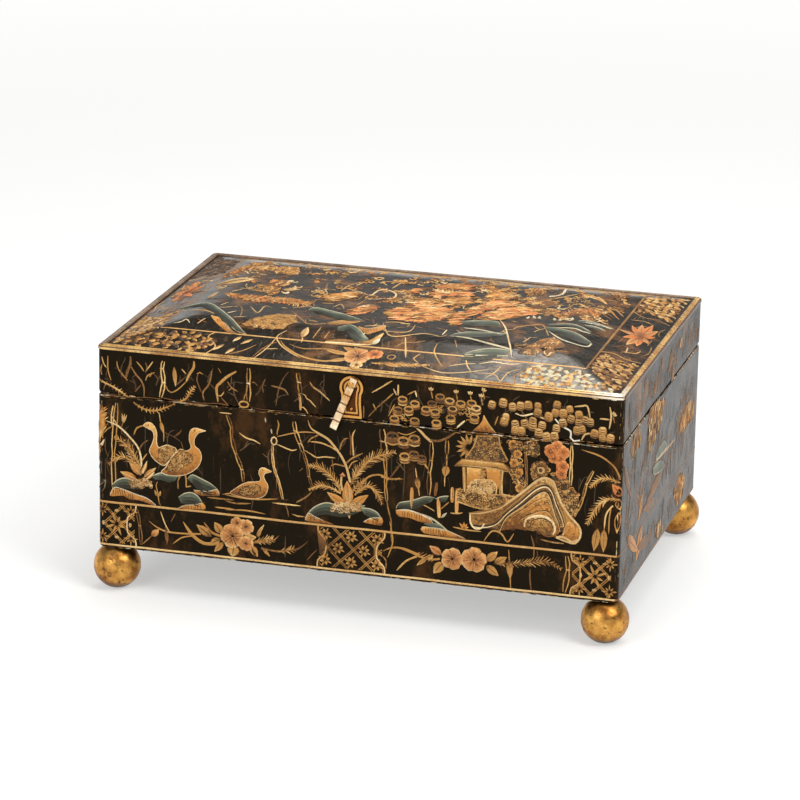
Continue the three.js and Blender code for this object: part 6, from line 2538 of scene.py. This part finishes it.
patch(roof, "deep", [(81, 35), (87, 39), (90, 28), (84, 23)], rise=0.1)
curls(roof, (85, 31), 6, 10, 26, "gold", 2.2, 0.6)
curls(roof, (102, 46), 9, 12, 26, "gold", 2.6, 0.6)
for step in range(30):
    spot = Vector((113, 43)) + Vector((chance.uniform(-14, 22), chance.uniform(-22, 26)))
    far = spot + Vector((chance.uniform(5, 13), chance.uniform(-15, -6)))
    if far.x < frame_x - 2 and abs(spot.y) < frame_y - 2:
        spike(
            roof, chance.choice(["gold", "amber", "deep", "pale"]), [spot, far], chance.uniform(0.8, 1.8)
        )
for step in range(230):
    spot = Vector((chance.uniform(-frame_x + 8, frame_x - 8), chance.uniform(0, frame_y - 4)))
    curls(roof, spot, 4, 5, 3, chance.choice(["gold", "amber", "deep", "pale"]), 4.2, 1.1)
for step in range(90):
    spot = Vector((chance.uniform(-frame_x + 14, frame_x - 18), chance.uniform(-74, frame_y - 16)))
    kind = chance.choice(["pale", "gold", "deep", "dim", "deep"])
    twig(roof, spot, chance.uniform(0, 180), chance.uniform(7, 14), kind, 0.9, 1)
for step in range(110):
    spot = Vector((chance.uniform(-frame_x + 8, frame_x - 12), chance.uniform(-frame_y + 6, frame_y - 6)))
    way = heading(chance.uniform(-25, 25)) * chance.uniform(4, 12)
    stroke(
        roof, chance.choice(["dim", "deep", "gold"]), [spot - way / 2, spot + way / 2],
        chance.uniform(0.8, 2.0), lift=-0.1,
    )
for side, step in itertools.product((-1, 1), range(130)):
    spot = Vector((side * chance.uniform(frame_x + 3, rim_x - 3), chance.uniform(-92, 92)))
    way = heading(chance.uniform(40, 100)) * chance.uniform(6, 16)
    stroke(
        border, chance.choice(["dim", "deep", "deep"]), [spot - way / 2, spot + way / 2],
        chance.uniform(0.5, 1.5), lift=-0.1,
    )
for step in range(40):
    spot = Vector((-chance.uniform(frame_x + 6, frame_x + 14), chance.uniform(-60, 84)))
    twig(border, spot, chance.uniform(70, 110), chance.uniform(6, 10), "deep", 0.9, 1)
for sheet in (roof, border):
    lay_sheet(sheet)

# %% [markdown]
# The right side is seen at a shallow angle and mirrors the bright floor, so its painting reads
# as orange-brown plumes on grey. The left side and the back are hidden and get the same kind of
# garden: a bank with a palm, canes, a bush and bare twigs.

# %% The other three sides
def plume(sheet, foot, tip, spread, paint):
    """Feathery foliage: a spine with long dense leaflets."""
    foot, tip = Vector(foot), Vector(tip)
    bend = (foot + tip) / 2 + turned(tip - foot, 90) * 0.07
    belly = turned(tip - foot, 90) * 0.13
    outline = [foot, bend + belly, tip, bend - belly]
    foliage(
        sheet, outline, paint, spread * 1.1, 16.0,
        math.degrees(math.atan2(tip.y - foot.y, tip.x - foot.x)),
    )
    frond(sheet, paint, [foot, bend, tip], spread, step=2.2, lean=30, width=0.9)


def garden(sheet, middle, span):
    """A stretch of garden on a wall, from the line up to just below the joint."""
    def at(x, z):
        return (middle + x * span, line_level + 2.5 + z)

    crest = [at(-0.42, 2), at(-0.3, 8), at(-0.12, 11), at(0.06, 9), at(0.2, 4)]
    bank(sheet, crest, 7)
    ledge = [at(-0.44, -1), at(-0.3, 2), at(-0.1, 3), at(0.1, 1), at(0.2, -1), at(-0.1, -2)]
    rock_face(sheet, ledge, [(at(-0.3, 1), at(-0.3, -1)), (at(-0.05, 2), at(-0.05, -1))])
    for tip_x, tip_z, reach in (
        (-0.36, 40, 5), (-0.22, 54, 6), (-0.02, 50, 6), (0.12, 34, 5), (-0.46, 22, 4)
    ):
        bend = at((tip_x - 0.12) / 2 - 0.02, 11 + (tip_z - 9) * 0.62)
        frond(sheet, "gold", [at(-0.12, 9), bend, at(tip_x, tip_z)], reach, step=1.6)
    for x in (-0.2, -0.12, -0.04):
        leaf(sheet, "blossom", at(-0.12, 9), at(x * 1.1, 21), 5)
    plume(sheet, at(0.3, 24), at(0.36, 60), 9, "amber")
    plume(sheet, at(0.2, 32), at(0.16, 58), 6, "amber")
    cane(sheet, [at(0.45, 2), at(0.44, 30), at(0.47, 64)], 2.6)
    cane(sheet, [at(-0.47, 30), at(-0.46, 50), at(-0.44, 66)], 2.2, "deep")
    leaf(sheet, "teal", at(0.25, 14), at(0.34, 24), 8)
    leaf(sheet, "teal", at(0.27, 4), at(0.38, 12), 8)
    for x in (-0.4, -0.2, 0.04, 0.28, 0.4):
        twig(sheet, at(x + 0.04, 62), chance.uniform(-110, -70), 14, "gold", 0.9, 1)


def lid_twigs(sheet, low, high):
    """Bare twigs and a few plumes along the lid."""
    along = low + 6
    while along < high - 4:
        level = lid_bottom + 5
        kind = chance.random()
        if kind < 0.4:
            twig(sheet, (along, level), chance.uniform(60, 120), chance.uniform(12, 17), "deep", 1.2, 2)
        elif kind < 0.6:
            cane(sheet, [(along, level), (along + chance.uniform(-2, 2), level + 19)], 2.4, "deep")
        elif kind < 0.8:
            leaf(sheet, "amber", (along, level), (along + chance.uniform(-6, 6), level + 18), 5.4)
        else:
            plume(sheet, (along, level), (along + 4, level + 18), 5, "amber")
        along += chance.uniform(9, 14)


def streaks(sheet, low, high, foot, top, count, length):
    """Dim branches that wind upwards behind the painting."""
    for _ in range(count):
        spot = Vector((chance.uniform(low + 4, high - 4), foot + chance.random() ** 1.5 * (top - foot)))
        lean = Vector((chance.uniform(-7, 7), length * chance.uniform(0.5, 1.0)))
        aside = Vector((chance.uniform(-4, 4), 0))
        branch = [spot, spot + lean * 0.35 + aside, spot + lean * 0.7 - aside * 0.6, spot + lean]
        tint = chance.choice(["dim", "dim", "deep"])
        stroke(sheet, tint, branch, chance.uniform(0.7, 2.4), lift=-0.1, spacing=3)
        if chance.random() < 0.5:
            twig(sheet, branch[2], chance.uniform(20, 160), length * 0.4, tint, 0.8, 1)


def right_garden(wall):
    """The right side: brown and orange plumes, two grey-green leaves and a few long leaves."""
    def on_right(points):
        return [(side_middle + y, z) for y, z in points]

    for outline, paint in (
        (
            [(-42, 131), (-21, 131), (4, 124), (-1, 116), (-13, 109), (-29, 105), (-40, 104), (-42, 116)],
            "deep",
        ),
        ([(85, 100), (105, 94), (104, 87), (79, 86), (58, 88), (64, 95)], "amber"),
        ([(-73, 129), (-63, 119), (-87, 116), (-94, 125)], "deep"),
        ([(67, 56), (87, 42), (61, 36), (48, 49)], "amber"),
        ([(3, 43), (15, 34), (0, 34), (-10, 42)], "deep"),
    ):
        foliage(wall, on_right(outline), paint, 9.0, 12.0, 75)
    for outline in (
        [(8, 97), (16, 90), (-14, 91), (-15, 95)], [(6, 84), (12, 78), (-17, 82), (-24, 88), (-9, 88)]
    ):
        patch(wall, "teal", on_right(outline), rise=0.2)
        stroke(wall, "cream", on_right(outline), 0.9, lift=0.2)
    for foot, tip, paint, width in (
        ((-113, 118), (-88, 89), "deep", 7), ((-52, 81), (-64, 66), "amber", 7),
        ((10, 77), (-40, 71), "deep", 9), ((-14, 64), (-52, 69), "deep", 8),
        ((-51, 59), (-68, 40), "amber", 13), ((-23, 42), (-70, 49), "deep", 9),
        ((-97, 66), (-61, 45), "amber", 9),
    ):
        leaf(wall, paint, *on_right((foot, tip)), width)
    stroke(wall, "pale", on_right([(-18, 90), (17, 88), (43, 87)]), 1.4)


def right_lid(wall):
    """The right side of the lid: long leaves and dim twigs."""
    for foot, tip, paint in (
        ((50, 153), (53, 147), "amber"), ((27, 152), (12, 141), "deep"), ((-3, 153), (-10, 152), "deep"),
        ((-27, 147), (-24, 138), "deep"), ((-55, 158), (-56, 148), "deep"),
        ((33, 139), (24, 132), "deep"),
    ):
        leaf(wall, paint, (side_middle + foot[0], foot[1]), (side_middle + tip[0], tip[1]), 9)


spray_level = 45.5
garden_width = 82
for name, middle, half in (
    ("right", side_middle, straight_y), ("left", -side_middle, straight_y),
    ("back", half_girth, straight_x),
):
    wall = new_sheet(f"{name}_case_painting", "case", on_wall)
    low, high = middle - half, middle + half
    streaks(wall, low, high, 63, 98, round(half * 0.5), 28)
    if name == "right":
        streaks(wall, low, high, 34, 44, 26, 15)
        for _ in range(34):
            spot = (chance.uniform(low + 10, high - 10), chance.uniform(64, 98))
            twig(wall, spot, chance.uniform(60, 120), chance.uniform(8, 16), "deep", 1.0, 2)
        right_garden(wall)
    else:
        for number in range(round(2 * half / garden_width)):
            garden(wall, low + garden_width * (number + 0.5), garden_width * 0.98)
        star_panel(wall, low, low + 26, panel_low, panel_high, 1)
        star_panel(wall, high - 26, high, panel_low, panel_high, -1)
    if name == "back":
        lattice_panel(wall, middle - 21, middle + 21, panel_low, panel_high)
        for side in (1, -1):
            spray(wall, (middle - 80 * side, spray_level), 46, side)
    elif name == "left":
        spray(wall, (middle, spray_level), 60, 1)
        plume(wall, (middle + 52, 36), (middle + 60, 57), 6, "orange")
        plume(wall, (middle - 56, 36), (middle - 64, 56), 6, "orange")
    lay_sheet(wall)
    lid_wall = new_sheet(f"{name}_lid_painting", "lid", on_wall)
    streaks(lid_wall, low, high, 133, 139, round(half * 0.45), 19)
    if name == "right":
        right_lid(lid_wall)
        for _ in range(26):
            spot = (chance.uniform(low + 8, high - 8), chance.uniform(137, 143))
            twig(lid_wall, spot, chance.uniform(60, 120), chance.uniform(5, 9), "deep", 1.0, 2)
    else:
        lid_twigs(lid_wall, low, high)
    lay_sheet(lid_wall)

# %% [markdown]
# Last, the standard view keeps colours as they are written.

# %% Finish
bpy.context.scene.view_settings.view_transform = "Standard"
